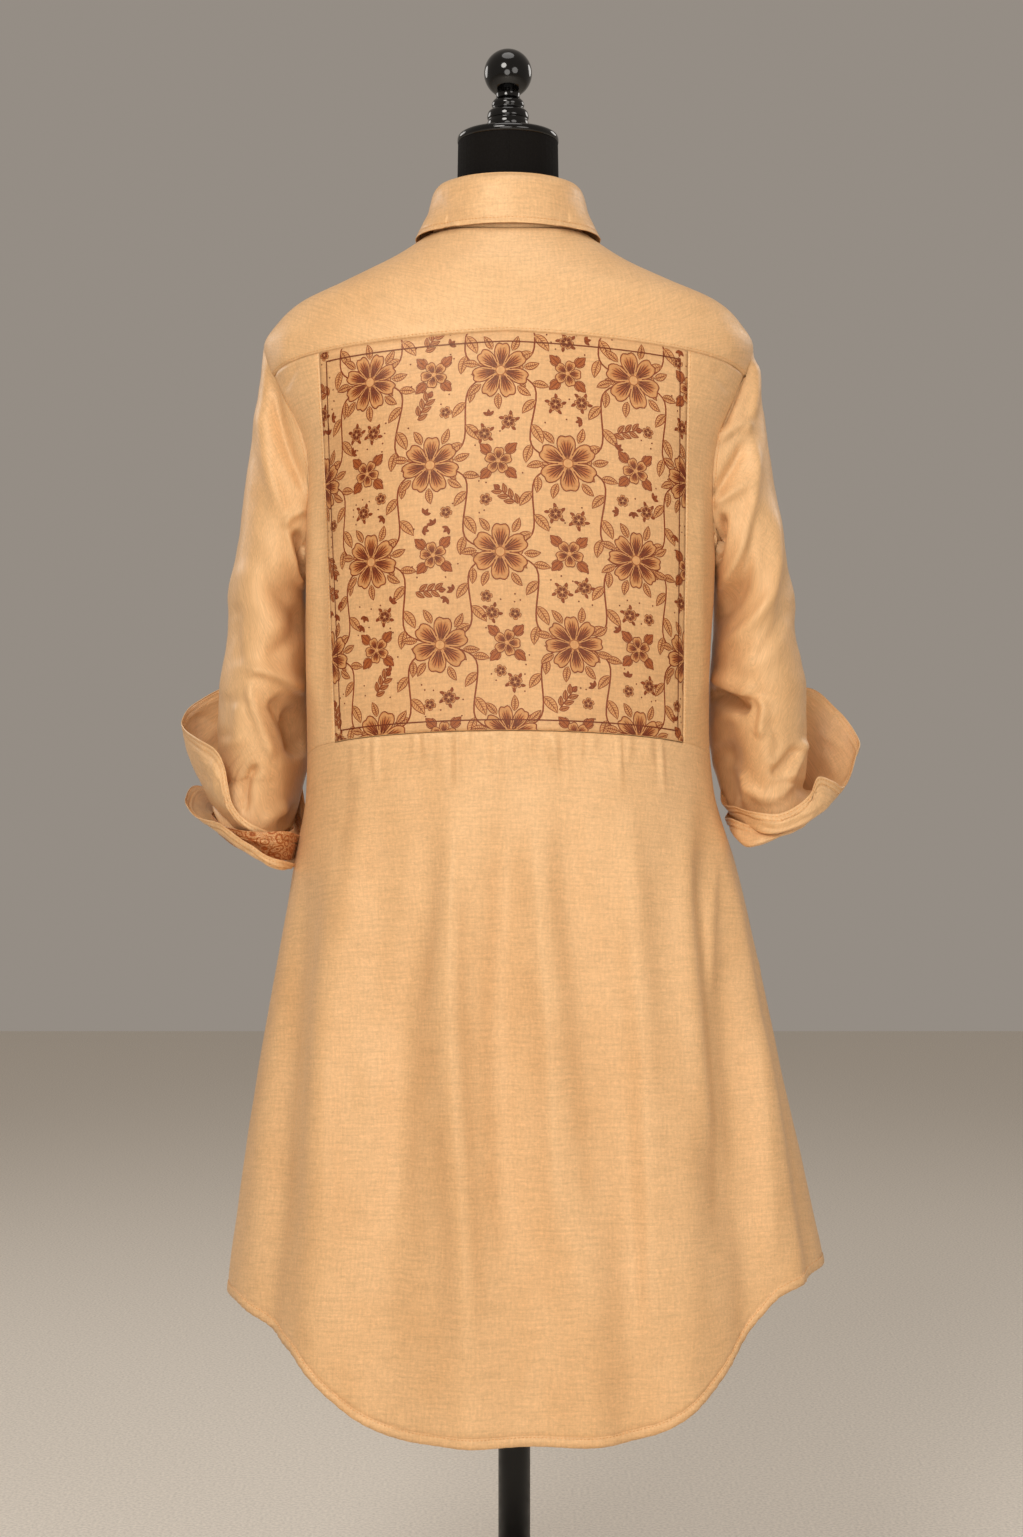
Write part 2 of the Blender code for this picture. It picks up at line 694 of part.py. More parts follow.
def armhole_loop(side, points):
    """The armhole's edge on the body, from its top over its back and round."""
    loop = []
    for i in range(points):
        around = 360 * i / points
        step = ARMHOLE_STEPS * (around if around <= 180 else 360 - around) / 180
        reach = -ARMHOLE_BACK if around <= 180 else ARMHOLE_FRONT
        angle = 90 + math.copysign(armhole_angle(step, abs(reach)), reach)
        point = body_point(armhole_height(step), side * angle, folded=False)
        low = smooth(step / ARMHOLE_STEPS)
        point.x += side * mix(WALL + 0.0002, 2 * WALL + 2 * SEAM, low)
        loop.append(point)
    return loop


def sleeve_ring(side, ring, points):
    """A level section of a sleeve."""
    outer = ring.outer_left if side < 0 else ring.outer_right
    inner = ring.inner_left if side < 0 else ring.inner_right
    loop = []
    for i in range(points):
        around = math.radians(360 * i / points)
        x = (outer + inner) / 2 + (outer - inner) / 2 * math.cos(around)
        y = (ring.back + ring.front) / 2 - (ring.front - ring.back) / 2 * math.sin(around)
        loop.append(Vector((side * x, y, ring.z)))
    return loop


def dented(side, loop):
    """The loop with the sleeve's creases pressed in or raised."""
    count = len(loop)
    middle = sum(loop, Vector()) / count
    made = []
    for i, point in enumerate(loop):
        around = 360 * i / count
        out = 0.0
        for dent in DENTS:
            if dent.side != side:
                continue
            away = turned(around - dent.around)
            centre = dent.z + dent.slant * away
            rise = (point.z - centre) / dent.height
            turn = away / dent.spread
            out += dent.depth * math.exp(-rise * rise - turn * turn)
        aim = (point - middle) * Vector((1, 1, 0))
        reach = max(aim.length, 0.001)
        made.append(point + aim / reach * out)
    return made


def sleeve_end(side, points):
    """The sleeve's last loop, sewn inside the foot of its cuff."""
    foot = CUFFS["cuff_left" if side < 0 else "cuff_right"][0]
    inset = WALL + 2 * SEAM
    inside = foot._replace(
        outer=foot.outer - inset,
        inner=foot.inner + inset,
        near=foot.near + inset,
        far=foot.far - inset,
    )
    return cuff_loop(side, inside, points)


def sleeve_loops(side, points=24):
    """The loops of a sleeve from its armhole down to its cuff."""
    start = armhole_loop(side, points)
    level = sleeve_ring(side, SLEEVE[0], points)
    loops = [start]
    for share in (0.14, 0.32, 0.54, 0.78):
        loops.append([a.lerp(b, share) for a, b in zip(start, level)])
    lower = [SLEEVE[0]]
    for upper_ring, lower_ring in zip(SLEEVE, SLEEVE[1:]):
        halfway = [(a + b) / 2 for a, b in zip(upper_ring, lower_ring)]
        lower.append(SleeveRing(*halfway))
        lower.append(lower_ring)
    loops += [sleeve_ring(side, ring, points) for ring in lower]
    return loops[:1] + [dented(side, loop) for loop in loops[1:]] + [sleeve_end(side, points)]


def closed(loop):
    return loop + [loop[0].copy()]


def make_sleeves(material, collection):
    for name, side in (("sleeve_left", -1), ("sleeve_right", 1)):
        loops = [closed(loop) for loop in sleeve_loops(side)]
        if side > 0:
            loops = [loop[::-1] for loop in loops]
        cloth(name, [loops], material, collection)


def cuff_loop(side, loop, points=24):
    """A tilted loop: its height swings between the four given ones."""
    made = []
    level = (loop.outer_z + loop.inner_z + loop.near_z + loop.far_z) / 4
    sway = (loop.outer_z + loop.inner_z - loop.near_z - loop.far_z) / 4
    for i in range(points):
        around = math.radians(360 * i / points)
        x = (loop.outer + loop.inner) / 2 + (loop.outer - loop.inner) / 2 * math.cos(around)
        y = (loop.near + loop.far) / 2 - (loop.far - loop.near) / 2 * math.sin(around)
        z = level + (loop.outer_z - loop.inner_z) / 2 * math.cos(around)
        z += (loop.near_z - loop.far_z) / 2 * math.sin(around)
        z += sway * math.cos(2 * around)
        made.append(Vector((side * x, y, z)))
    return made


def make_cuffs(materials, collection):
    for name, loops in CUFFS.items():
        side = -1 if "left" in name else 1
        rows = [closed(cuff_loop(side, loop)) for loop in reversed(loops)]
        if side > 0:
            rows = [row[::-1] for row in rows]
        cloth(name, [rows], materials[name], collection)


# ---------------------------------------------------------------- collar


def collar_front(angle):
    """0 round the back of the collar and 1 at the centre front."""
    return smooth((abs(angle) - 92) / 88)


def stand_point(angle, share):
    """A point of the collar stand: share 0 at the neck seam and 1 at its top."""
    front = collar_front(angle)
    inset = WALL + 2 * SEAM + STAND_SIDE_INSET * smooth((abs(angle) - 65) / 25)
    foot = body_point(neck_seam(angle), angle, -inset, folded=False)
    top_z = mix(COLLAR_TOP, NECK_FRONT + COLLAR_FRONT_RISE, front)
    depth = mix(COLLAR_BACK, COLLAR_FRONT, front)
    top = section_point(top_z, angle, COLLAR_HALF_WIDTH, depth, 2.0)
    return foot.lerp(top, share)


def under_collar(angle, z):
    """The point of the stand, or of the body below it, that the fall covers at a height."""
    foot = neck_seam(angle)
    top = stand_point(angle, 1.0)
    if z > foot:
        return stand_point(angle, (z - foot) / (top.z - foot))
    return body_point(z, angle, folded=False)


def make_collar(material, collection):
    columns = 32
    angles = spread(-COLLAR_END, COLLAR_END, columns + 1)
    ends = [180 - 2 * SEAM_ANGLE]
    round_neck = [-ends[0]] + angles + ends
    stand = [[stand_point(a, share) for a in round_neck] for share in (1.0, 0.5, 0.0)]
    cloth("collar_stand", [stand], material, collection)
    rows = []
    for fall in FALL:
        row = []
        for angle in spread(-fall.end, fall.end, columns + 1):
            front = collar_front(angle)
            top = stand_point(angle, 1.0)
            z = top.z - mix(fall.drop_back, fall.drop_front, front)
            away = Vector((top.x, top.y, 0)).normalized()
            flared = top + away * mix(fall.out_back, fall.out_front, front)
            laid = under_collar(angle, z) + away * FALL_CLEAR
            point = laid if z < top.z and laid.xy.length > flared.xy.length else flared
            row.append(Vector((point.x, point.y, z)))
        rows.append(row)
    cloth("collar_fall", [rows], material, collection)


# ---------------------------------------------------------------- dress form


def form_rows():
    """The form's loops from its neck down: its shoulders lie a seat's gap inside the yoke."""
    back = yoke_rows()
    front_angles = 11
    angles = spread(-90, 90, len(back[0])) + spread(90, 270, front_angles)[1:-1]
    loops = []
    for ring in NECK:
        loop = []
        for angle in angles:
            z = mix(ring.back_z, ring.front_z, smooth((abs(turned(angle)) - 60) / 120))
            loop.append(section_point(z, angle, ring.radius, ring.radius, 2.0))
        loops.append(loop)
    for row in back[-2:YOKE_END_ROW:-1]:
        height, end = row[-1]
        loop = [body_point(z - SEAT, angle, -SEAT, folded=False) for z, angle in row]
        share = (height - SHOULDER_END) / (NECK_SIDE - SHOULDER_END)
        for angle in spread(end, 360 - end, front_angles)[1:-1]:
            z = mix(SHOULDER_END, neck_seam(angle), share) - FORM_FRONT_INSET
            loop.append(body_point(z, angle, -FORM_FRONT_INSET, folded=False))
        loops.append(loop)
    for ring in FORM:
        loop = []
        for angle in angles:
            depth = ring.back if abs(turned(angle)) < 90 else ring.front
            loop.append(section_point(ring.z, angle, ring.width, depth, 2.2))
        loops.append(loop)
    return loops


def make_form(material, collection):
    mesh = bmesh.new()
    rings = [[mesh.verts.new(point) for point in loop] for loop in form_rows()]
    for upper, lower in zip(rings, rings[1:]):
        strip_faces(mesh, lower + lower[:1], upper + upper[:1])
    mesh.faces.new(rings[0])
    mesh.faces.new(rings[-1][::-1])
    bmesh.ops.recalc_face_normals(mesh, faces=mesh.faces)
    data = bpy.data.meshes.new("form_torso")
    mesh.to_mesh(data)
    mesh.free()
    data.shade_smooth()
    return new_object("form_torso", data, material, collection)


def make_stand(gloss, metal, collection):
    """The form's turned neck cap and finial, and its pole and base."""
    cap_top = CAP_FOOT + CAP_HEIGHT
    rim = [(CAP_RADIUS + turn.radius, cap_top + turn.z) for turn in CAP_RIM]
    cap = [(0.0, cap_top), *rim, (CAP_RADIUS, CAP_FOOT), (0.0, CAP_FOOT)]
    turned_piece("form_cap", cap, 0.0, gloss, collection)
    foot = cap_top + SEAM
    finial = []
    for around in spread(0, BALL_END, 9):
        turn = math.radians(around)
        reach = FINIAL_RADIUS * math.sin(turn)
        finial.append((reach, FINIAL_CENTRE + FINIAL_RADIUS * math.cos(turn)))
    finial += [(turn.radius, foot + turn.z) for turn in FINIAL_STEM]
    finial.append((0.0, foot))
    turned_piece("form_finial", finial, 0.0, gloss, collection, steps=20)
    pole = [
        (0.0, FORM_HIP - SEAM),
        (POLE_RADIUS, FORM_HIP - SEAM),
        (POLE_RADIUS, BASE_HEIGHT + SEAM),
        (0.0, BASE_HEIGHT + SEAM),
    ]
    turned_piece("form_pole", pole, POLE_X, metal, collection, steps=24)
    base = [(0.0, BASE_HEIGHT), *((turn.radius, turn.z) for turn in BASE_PROFILE), (0.0, 0.0)]
    turned_piece("form_base", base, POLE_X, metal, collection, steps=36)


# ---------------------------------------------------------------- the whole part


def main():
    clear_scene()
    parts = bpy.data.collections.new(PARTS)
    bpy.context.scene.collection.children.link(parts)
    tan = colour(228, 178, 120)
    print_ground = colour(214, 162, 110)
    names = ["back_yoke", "back", "fronts", "placket", "sleeves", "collar", *CUFFS]
    fabric = {name: principled(f"cloth_{name}", tan, 0.6) for name in names}
    fabric["cuff_left_facing"] = principled("cloth_facing", colour(186, 130, 80), 0.7)
    make_yoke(fabric["back_yoke"], parts)
    make_panel(principled("cloth_print", print_ground, 0.7), parts)
    make_back(fabric["back"], parts)
    make_fronts(fabric["fronts"], parts)
    make_placket(fabric["placket"], parts)
    make_buttons(principled("button", colour(205, 160, 110), 0.35), parts)
    make_sleeves(fabric["sleeves"], parts)
    make_cuffs(fabric, parts)
    make_collar(fabric["collar"], parts)
    make_form(principled("form_cloth", colour(26, 22, 18), 0.85), parts)
    gloss = principled("gloss_black", colour(14, 12, 11), 0.15)
    make_stand(gloss, principled("black_metal", colour(20, 17, 14), 0.4, 0.6), parts)


main()
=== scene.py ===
"""The looks of the shirt dress on its dress form.

Lengths are metres in the part's frame: +Z is up, the back of the dress faces -Y, +X is the
wearer's right. An angle of 0 degrees is the centre back, +90 the right side, 180 the centre
front. Every piece of cloth is a thin shell on the form of its solid, with finer folds. Folds
and cuff loops are placed by pixels of the 1023 x 1537 back view, at depths that lie on the form.
"""

import math
import random
from collections import namedtuple

import bpy
import numpy as np
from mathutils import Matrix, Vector, noise


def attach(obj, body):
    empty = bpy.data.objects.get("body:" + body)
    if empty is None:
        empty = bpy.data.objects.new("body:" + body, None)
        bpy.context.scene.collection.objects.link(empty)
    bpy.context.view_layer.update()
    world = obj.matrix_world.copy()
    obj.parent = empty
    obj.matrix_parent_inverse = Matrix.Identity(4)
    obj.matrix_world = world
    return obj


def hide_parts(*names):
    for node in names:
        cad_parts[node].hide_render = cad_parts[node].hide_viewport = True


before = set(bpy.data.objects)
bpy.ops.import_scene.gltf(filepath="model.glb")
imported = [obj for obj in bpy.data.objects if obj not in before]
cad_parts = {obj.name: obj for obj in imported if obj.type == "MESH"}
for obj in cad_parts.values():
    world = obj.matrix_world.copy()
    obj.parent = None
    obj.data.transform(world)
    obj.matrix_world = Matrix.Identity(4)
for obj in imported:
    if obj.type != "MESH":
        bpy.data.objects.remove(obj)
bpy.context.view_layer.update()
BODY_NAME = "root"

# ---------------------------------------------------------------- camera, floor and light

CAMERA_PLACE = (0.0, -2.2, 0.92)
FOCAL_PIXELS = 2340.0
IMAGE_LONG_SIDE = 1537
SENSOR = 36.0
CENTRE_PIXEL = 508.0
HORIZON_PIXEL = 768.0
MIDDLE_PIXEL = 511.5
WORLD_COLOUR = (1.0, 0.89, 0.78, 1.0)
WORLD_STRENGTH = 0.30
FLOOR_HALF_SIZE = 6.0
FLOOR_DROP = 0.0005



def table(kind, *rows):
    """Rows of plain values as named rows of one kind."""
    return tuple(kind(*row) for row in rows)


Lamp = namedtuple("Lamp", "name place aim size power colour")
LAMPS = table(
    Lamp,
    ("key", (-0.95, -2.6, 2.7), (0.0, 0.0, 1.0), 1.2, 47.0, (1.0, 0.96, 0.90)),
    ("fill", (1.7, -2.6, 1.6), (0.0, 0.0, 0.9), 1.5, 18.5, (1.0, 0.96, 0.91)),
    ("low", (-0.2, -3.0, 1.0), (0.0, 0.0, 0.8), 1.4, 18.0, (1.0, 0.96, 0.91)),
    ("back_left", (-2.2, 1.6, 2.2), (0.0, 0.0, 1.1), 1.2, 12.0, (1.0, 0.96, 0.91)),
    ("back_right", (2.2, 1.8, 2.4), (0.0, 0.0, 1.1), 1.2, 12.0, (1.0, 0.96, 0.91)),
    ("top", (0.0, -0.4, 3.2), (0.0, 0.0, 1.2), 1.2, 9.0, (1.0, 0.97, 0.93)),
)


def added(name, data):
    """A new object in the scene."""
    made = bpy.data.objects.new(name, data)
    bpy.context.scene.collection.objects.link(made)
    return made


def make_camera():
    data = bpy.data.cameras.new("camera")
    data.sensor_width = SENSOR
    data.lens = FOCAL_PIXELS * SENSOR / IMAGE_LONG_SIDE
    data.shift_x = (MIDDLE_PIXEL - CENTRE_PIXEL) / IMAGE_LONG_SIDE
    camera = added("camera", data)
    camera.location = CAMERA_PLACE
    camera.rotation_euler = (math.radians(90), 0, 0)
    bpy.context.scene.camera = camera
    bpy.context.scene.view_settings.view_transform = "Standard"


def make_lights():
    for lamp in LAMPS:
        data = bpy.data.lights.new(lamp.name, "AREA")
        data.shape = "DISK"
        data.size = lamp.size
        data.energy = lamp.power
        data.color = lamp.colour
        light = added(lamp.name, data)
        light.location = lamp.place
        aim = Vector(lamp.aim) - Vector(lamp.place)
        light.rotation_euler = aim.to_track_quat("-Z", "Y").to_euler()
    world = bpy.data.worlds.new("studio")
    world.use_nodes = True
    background = world.node_tree.nodes["Background"]
    background.inputs["Color"].default_value = WORLD_COLOUR
    background.inputs["Strength"].default_value = WORLD_STRENGTH
    bpy.context.scene.world = world


make_camera()

# ---------------------------------------------------------------- sizes shared with the part

MILLIMETRE = 0.001
WALL = 0.0012
SEAM = 0.0003
SEAM_ANGLE = 0.08
SIDES = (("left", -1), ("right", 1))
SHOULDER_END = 1.313
UNDERARM = 1.110
ARMHOLE_BACK = 21.0
ARMHOLE_FRONT = 24.0
ARMHOLE_STEPS = 12
ARMHOLE_FULLNESS = 0.8
NECK_BACK = 1.4124
NECK_SIDE = 1.418
NECK_FRONT = 1.352
NECK_SIDE_ANGLE = 106.0
NECK_RISE_ANGLE = 60
NECK_SCOOP = 1.2
YOKE_BACK = 1.310
YOKE_END_ROW = 3
YOKE_BOW = 1.3
HEM_BACK = 0.3324
HEM_FRONT = 0.345
HEM_LEFT = 0.433
HEM_RIGHT = 0.459
PANEL_FOOT = 0.9537
PANEL_FOOT_DROP = 0.0097
PANEL_CORNER_ANGLE = 52
PANEL_LEFT = (0.1705, 0.156)
PANEL_RIGHT = (0.1615, 0.158)
GATHERS = 24
GATHER_LENGTH = 0.055
PLACKET_WIDTH = 0.030
BUTTON_PITCH = 0.098
BUTTONS = 9
COLLAR_TOP = 1.4625
COLLAR_HALF_WIDTH = 0.0625
COLLAR_BACK = 0.0600
COLLAR_FRONT = 0.0640
COLLAR_FRONT_RISE = 0.034
COLLAR_END = 176.0
STAND_SIDE_INSET = 0.0030
FALL_CLEAR = 0.0065

# The body's section at a height: its four reaches, and how square its corners are.
Section = namedtuple("Section", "z left right back front square")
BODY = table(
    Section,
    (1.4200, 0.0715, 0.0715, 0.0660, 0.050, 2.0),
    (1.4110, 0.0835, 0.0825, 0.0720, 0.058, 2.0),
    (1.3940, 0.1110, 0.1090, 0.0830, 0.070, 2.1),
    (1.3720, 0.1545, 0.1540, 0.0960, 0.082, 2.2),
    (1.3520, 0.1945, 0.1975, 0.1040, 0.091, 2.3),
    (1.3300, 0.2175, 0.2190, 0.1100, 0.099, 2.3),
    (1.3130, 0.2265, 0.2275, 0.1140, 0.105, 2.3),
    (1.2700, 0.2150, 0.2175, 0.1200, 0.118, 2.4),
    (1.2200, 0.1945, 0.1995, 0.1240, 0.130, 2.4),
    (1.1700, 0.1880, 0.1940, 0.1255, 0.137, 2.4),
    (1.1100, 0.1870, 0.1930, 0.1260, 0.138, 2.4),
    (1.0000, 0.1875, 0.1870, 0.1245, 0.134, 2.4),
    (0.9000, 0.1880, 0.1910, 0.1280, 0.134, 2.3),
    (0.8335, 0.1985, 0.2110, 0.1340, 0.137, 2.2),
    (0.7960, 0.2040, 0.2210, 0.1380, 0.140, 2.2),
    (0.7000, 0.2220, 0.2416, 0.1480, 0.148, 2.1),
    (0.6000, 0.2395, 0.2630, 0.1580, 0.157, 2.1),
    (0.5100, 0.2515, 0.2840, 0.1665, 0.165, 2.0),
    (0.4500, 0.2598, 0.2962, 0.1720, 0.170, 2.0),
    (0.3300, 0.2700, 0.3040, 0.1770, 0.175, 2.0),
)

# How far the hem has risen, from 0 at its lowest to 1 at the side, at angles from the centre.
HemRise = namedtuple("HemRise", "angle left right")
HEM_RISE = table(
    HemRise,
    (0, 0.0, 0.0),
    (15, 0.01, 0.0),
    (20, 0.02, 0.01),
    (25, 0.06, 0.055),
    (30, 0.16, 0.16),
    (35, 0.33, 0.285),
    (40, 0.52, 0.425),
    (45, 0.67, 0.575),
    (50, 0.74, 0.74),
    (55, 0.81, 0.895),
    (62, 0.91, 0.965),
    (72, 1.0, 1.0),
    (90, 1.0, 1.0),
)

# A long fold down the skirt: the angles of its top and foot, its width in degrees, its depth
# and the heights at which it starts and is full.
Fold = namedtuple("Fold", "top_angle foot_angle width depth top full")
FOLDS_TOP = 0.93
FOLDS_DROP = 0.55
FOLDS = table(
    Fold,
    (-19, -7, 5.0, 0.0075, 0.93, 0.62),
    (-27, -24, 7.0, -0.0090, 0.93, 0.55),
    (-52, -40, 6.0, 0.0085, 0.86, 0.55),
    (-66, -56, 6.0, -0.0090, 0.90, 0.60),
    (-1, 4, 6.0, -0.0060, 0.93, 0.60),
    (10, 14, 4.5, 0.0050, 0.93, 0.70),
    (20, 22, 5.0, -0.0060, 0.93, 0.66),
    (42, 30, 6.0, 0.0085, 0.93, 0.60),
    (62, 47, 5.5, -0.0100, 0.95, 0.58),
    (70, 60, 5.0, 0.0080, 0.92, 0.55),
    (118, 112, 8.0, -0.0110, 0.98, 0.55),
    (142, 137, 7.0, 0.0090, 0.95, 0.60),
    (160, 158, 6.0, -0.0070, 0.90, 0.50),
    (-122, -115, 8.0, -0.0100, 1.00, 0.55),
    (-146, -140, 7.0, 0.0085, 0.95, 0.60),
    (-163, -160, 6.0, -0.0070, 0.90, 0.50),
)

SleeveRing = namedtuple("SleeveRing", "z outer_left outer_right inner_left inner_right back front")
SLEEVE = table(
    SleeveRing,
    (1.085, 0.2615, 0.2680, 0.1935, 0.1985, -0.043, 0.100),
    (1.045, 0.2650, 0.2725, 0.1930, 0.1980, -0.045, 0.104),
    (1.000, 0.2720, 0.2815, 0.1925, 0.1975, -0.046, 0.108),
    (0.960, 0.2750, 0.2840, 0.1930, 0.1975, -0.044, 0.110),
    (0.925, 0.2740, 0.2835, 0.1950, 0.2000, -0.040, 0.111),
    (0.900, 0.2710, 0.2810, 0.2010, 0.2080, -0.035, 0.108),
)

# ---------------------------------------------------------------- plain helpers


def mix(a, b, share):
    return a + (b - a) * share


def smooth(share):
    share = np.clip(share, 0.0, 1.0)
    return share * share * (3 - 2 * share)


def bump(away):
    """A soft bell, 1 at its middle."""
    return np.exp(-away * away)


def column(rows, key, at, name):
    """The named column of a table at values of its key, on a smooth curve through its rows."""
    keys = np.array([getattr(row, key) for row in rows], float)
    values = np.array([getattr(row, name) for row in rows], float)
    if keys[0] > keys[-1]:
        keys = keys[::-1]
        values = values[::-1]
    at = np.clip(np.asarray(at, float), keys[0], keys[-1])
    low = np.clip(np.searchsorted(keys, at, side="right") - 1, 0, len(keys) - 2)
    before = np.maximum(np.arange(len(keys)) - 1, 0)
    after = np.minimum(np.arange(len(keys)) + 1, len(keys) - 1)
    slope = (values[after] - values[before]) / (keys[after] - keys[before])
    span = keys[low + 1] - keys[low]
    t = (at - keys[low]) / span
    start = values[low] + t * t * (3 - 2 * t) * (values[low + 1] - values[low])
    return start + t * (1 - t) * ((1 - t) * slope[low] - t * slope[low + 1]) * span


def turned(angle):
    return (np.asarray(angle, float) + 180) % 360 - 180


# ---------------------------------------------------------------- the body's surface


def section_points(z, angle, width, depth, square):
    turn = np.radians(angle)
    aim = np.arctan2(width * np.sin(turn), depth * np.cos(turn))
    across = np.abs(np.sin(aim)) / width
    along = np.abs(np.cos(aim)) / depth
    reach = (across**square + along**square) ** (-1 / square)
    return np.stack([reach * np.sin(aim), -reach * np.cos(aim), z + 0 * reach], axis=-1)


def fold_height(z, angle):
    total = 0.0
    for fold in FOLDS:
        fade = smooth((fold.top - z) / (fold.top - fold.full))
        centre = mix(fold.top_angle, fold.foot_angle, smooth((FOLDS_TOP - z) / FOLDS_DROP))
        total = total + fold.depth * fade * bump(turned(angle - centre) / fold.width)
    return total


def body_points(z, angle, out=0.0, folded=True):
    """Points of the inner face of the dress, moved outwards by out."""
    z, angle = np.broadcast_arrays(np.asarray(z, float), turned(angle))
    width = np.where(angle > 0, column(BODY, "z", z, "right"), column(BODY, "z", z, "left"))
    back = np.abs(angle) < 90
    depth = np.where(back, column(BODY, "z", z, "back"), column(BODY, "z", z, "front"))
    square = column(BODY, "z", z, "square")
    if folded:
        out = out + fold_height(z, angle)
    return section_points(z, angle, width + out, depth + out, square)


def angle_at(z, x):
    """The angle on the back at which the body has this x."""
    low = np.where(x > 0, 0.0, -90.0) + 0 * z
    high = np.where(x > 0, 90.0, 0.0) + 0 * z
    for _ in range(30):
        middle = (low + high) / 2
        less = body_points(z, middle, folded=False)[..., 0] < x
        low = np.where(less, middle, low)
        high = np.where(less, high, middle)
    return (low + high) / 2


def armhole_height(step):
    middle = (SHOULDER_END + UNDERARM) / 2
    return middle + (SHOULDER_END - middle) * np.cos(np.pi * step / ARMHOLE_STEPS)


def armhole_angle(step, reach):
    round_it = np.sin(np.pi * np.asarray(step, float) / ARMHOLE_STEPS)
    return reach * np.maximum(round_it, 0.0) ** ARMHOLE_FULLNESS


def armhole_step(z):
    """The step of the armhole, from 0 at its top, at a height."""
    middle = (SHOULDER_END + UNDERARM) / 2
    turn = np.clip((z - middle) / (SHOULDER_END - middle), -1, 1)
    return ARMHOLE_STEPS * np.arccos(turn) / np.pi


def yoke_seam(angle):
    end_angle = 90 - armhole_angle(YOKE_END_ROW, ARMHOLE_BACK)
    drop = YOKE_BACK - armhole_height(YOKE_END_ROW)
    return YOKE_BACK - drop * np.minimum(np.abs(angle) / end_angle, 1.0) ** YOKE_BOW


def neck_seam(angle):
    away = np.abs(turned(angle))
    share = np.clip((away - NECK_SIDE_ANGLE) / (180 - NECK_SIDE_ANGLE), 0, 1)
    front = mix(NECK_SIDE, NECK_FRONT, np.sin(share * np.pi / 2) ** NECK_SCOOP)
    back = mix(NECK_BACK, NECK_SIDE, smooth(away / NECK_RISE_ANGLE))
    return np.where(away < NECK_SIDE_ANGLE, back, front)


def panel_foot(angle):
    return PANEL_FOOT - PANEL_FOOT_DROP * (angle / PANEL_CORNER_ANGLE) ** 2


def hem_height(angle):
    angle = turned(angle)
    away = np.minimum(np.abs(angle), 180 - np.abs(angle))
    left = column(HEM_RISE, "angle", away, "left")
    right = column(HEM_RISE, "angle", away, "right")
    centre = np.where(np.abs(angle) < 90, HEM_BACK, HEM_FRONT)
    return np.where(angle > 0, mix(centre, HEM_RIGHT, right), mix(centre, HEM_LEFT, left))


def panel_edge(side, z):
    top, foot = PANEL_RIGHT if side > 0 else PANEL_LEFT
    share = np.clip((YOKE_BACK - z) / (YOKE_BACK - PANEL_FOOT), 0, 1)
    return angle_at(z, side * mix(top, foot, share))


# ---------------------------------------------------------------- curves and relief


def through(knots, count, closed=False):
    """A smooth curve, or a smooth surface of curves, through knots along their first axis."""
    last = len(knots) if closed else len(knots) - 1
    at = np.linspace(0, last, count, endpoint=not closed)
    low = np.minimum(at.astype(int), last - 1)
    t = (at - low).reshape(-1, *[1] * (knots.ndim - 1))

    def knot(step):
        place = low + step
        return knots[place % len(knots) if closed else np.clip(place, 0, len(knots) - 1)]

    a, b, c, d = (knot(step) for step in (-1, 0, 1, 2))
    return b + 0.5 * t * (c - a + t * (2 * a - 5 * b + 4 * c - d + t * (3 * (b - c) + d - a)))


def seen(points):
    """Where points show in the back view, in pixels."""
    away = points[..., 1] - CAMERA_PLACE[1]
    across = CENTRE_PIXEL + FOCAL_PIXELS * points[..., 0] / away
    down = HORIZON_PIXEL - FOCAL_PIXELS * (points[..., 2] - CAMERA_PLACE[2]) / away
    return np.stack([across, down], axis=-1)


def placed(knots):
    """The points that show at the given pixels at the given depths: rows of (x, y, depth)."""
    knots = np.asarray(knots, float)
    away = knots[..., 2] - CAMERA_PLACE[1]
    across = (knots[..., 0] - CENTRE_PIXEL) * away / FOCAL_PIXELS
    height = CAMERA_PLACE[2] + (HORIZON_PIXEL - knots[..., 1]) * away / FOCAL_PIXELS
    return np.stack([across, knots[..., 2], height], axis=-1)


def ripple(points, size, seed):
    """Soft unevenness from -1 to 1 at each point, with swells of about the given size."""
    flat = points.reshape(-1, 3) / size + seed
    return np.array([noise.noise(Vector(p)) for p in flat]).reshape(points.shape[:-1])


Swell = namedtuple("Swell", "height size seed upright")
# Each cloth's soft unevenness: swells of a height and a size, in metres. upright is their width
# for their length, so 0.5 makes them twice as long as wide.
SWELLS = {
    "back": table(Swell, (0.0010, 0.045, 3.0, 0.35), (0.00030, 0.016, 7.0, 0.5)),
    "yoke": table(Swell, (0.0008, 0.05, 11.0, 1.0)),
    "front": table(Swell, (0.0010, 0.05, 21.0, 0.4)),
    "placket": table(Swell, (0.00025, 0.012, 31.0, 1.0)),
    "panel": table(Swell, (0.0012, 0.055, 41.0, 0.45)),
    "sleeve": table(Swell, (0.0016, 0.035, 5.0, 0.6), (0.0005, 0.014, 9.0, 1.0)),
    "cuff": table(Swell, (0.0010, 0.022, 13.0, 1.0), (0.0004, 0.009, 17.0, 1.0)),
    "collar": table(Swell, (0.0005, 0.024, 51.0, 1.0), (0.00025, 0.010, 53.0, 1.0)),
}


def uneven(points, name, seed=0.0):
    """How far each point stands out by the unevenness of the named cloth."""
    total = 0.0
    for swell in SWELLS[name]:
        drawn_out = points * np.array([1.0, 1.0, swell.upright])
        total = total + swell.height * ripple(drawn_out, swell.size, swell.seed + seed)
    return total


def steps_across(points, closed):
    if closed:
        return (np.roll(points, -1, axis=1) - np.roll(points, 1, axis=1)) / 2
    return np.gradient(points, axis=1)


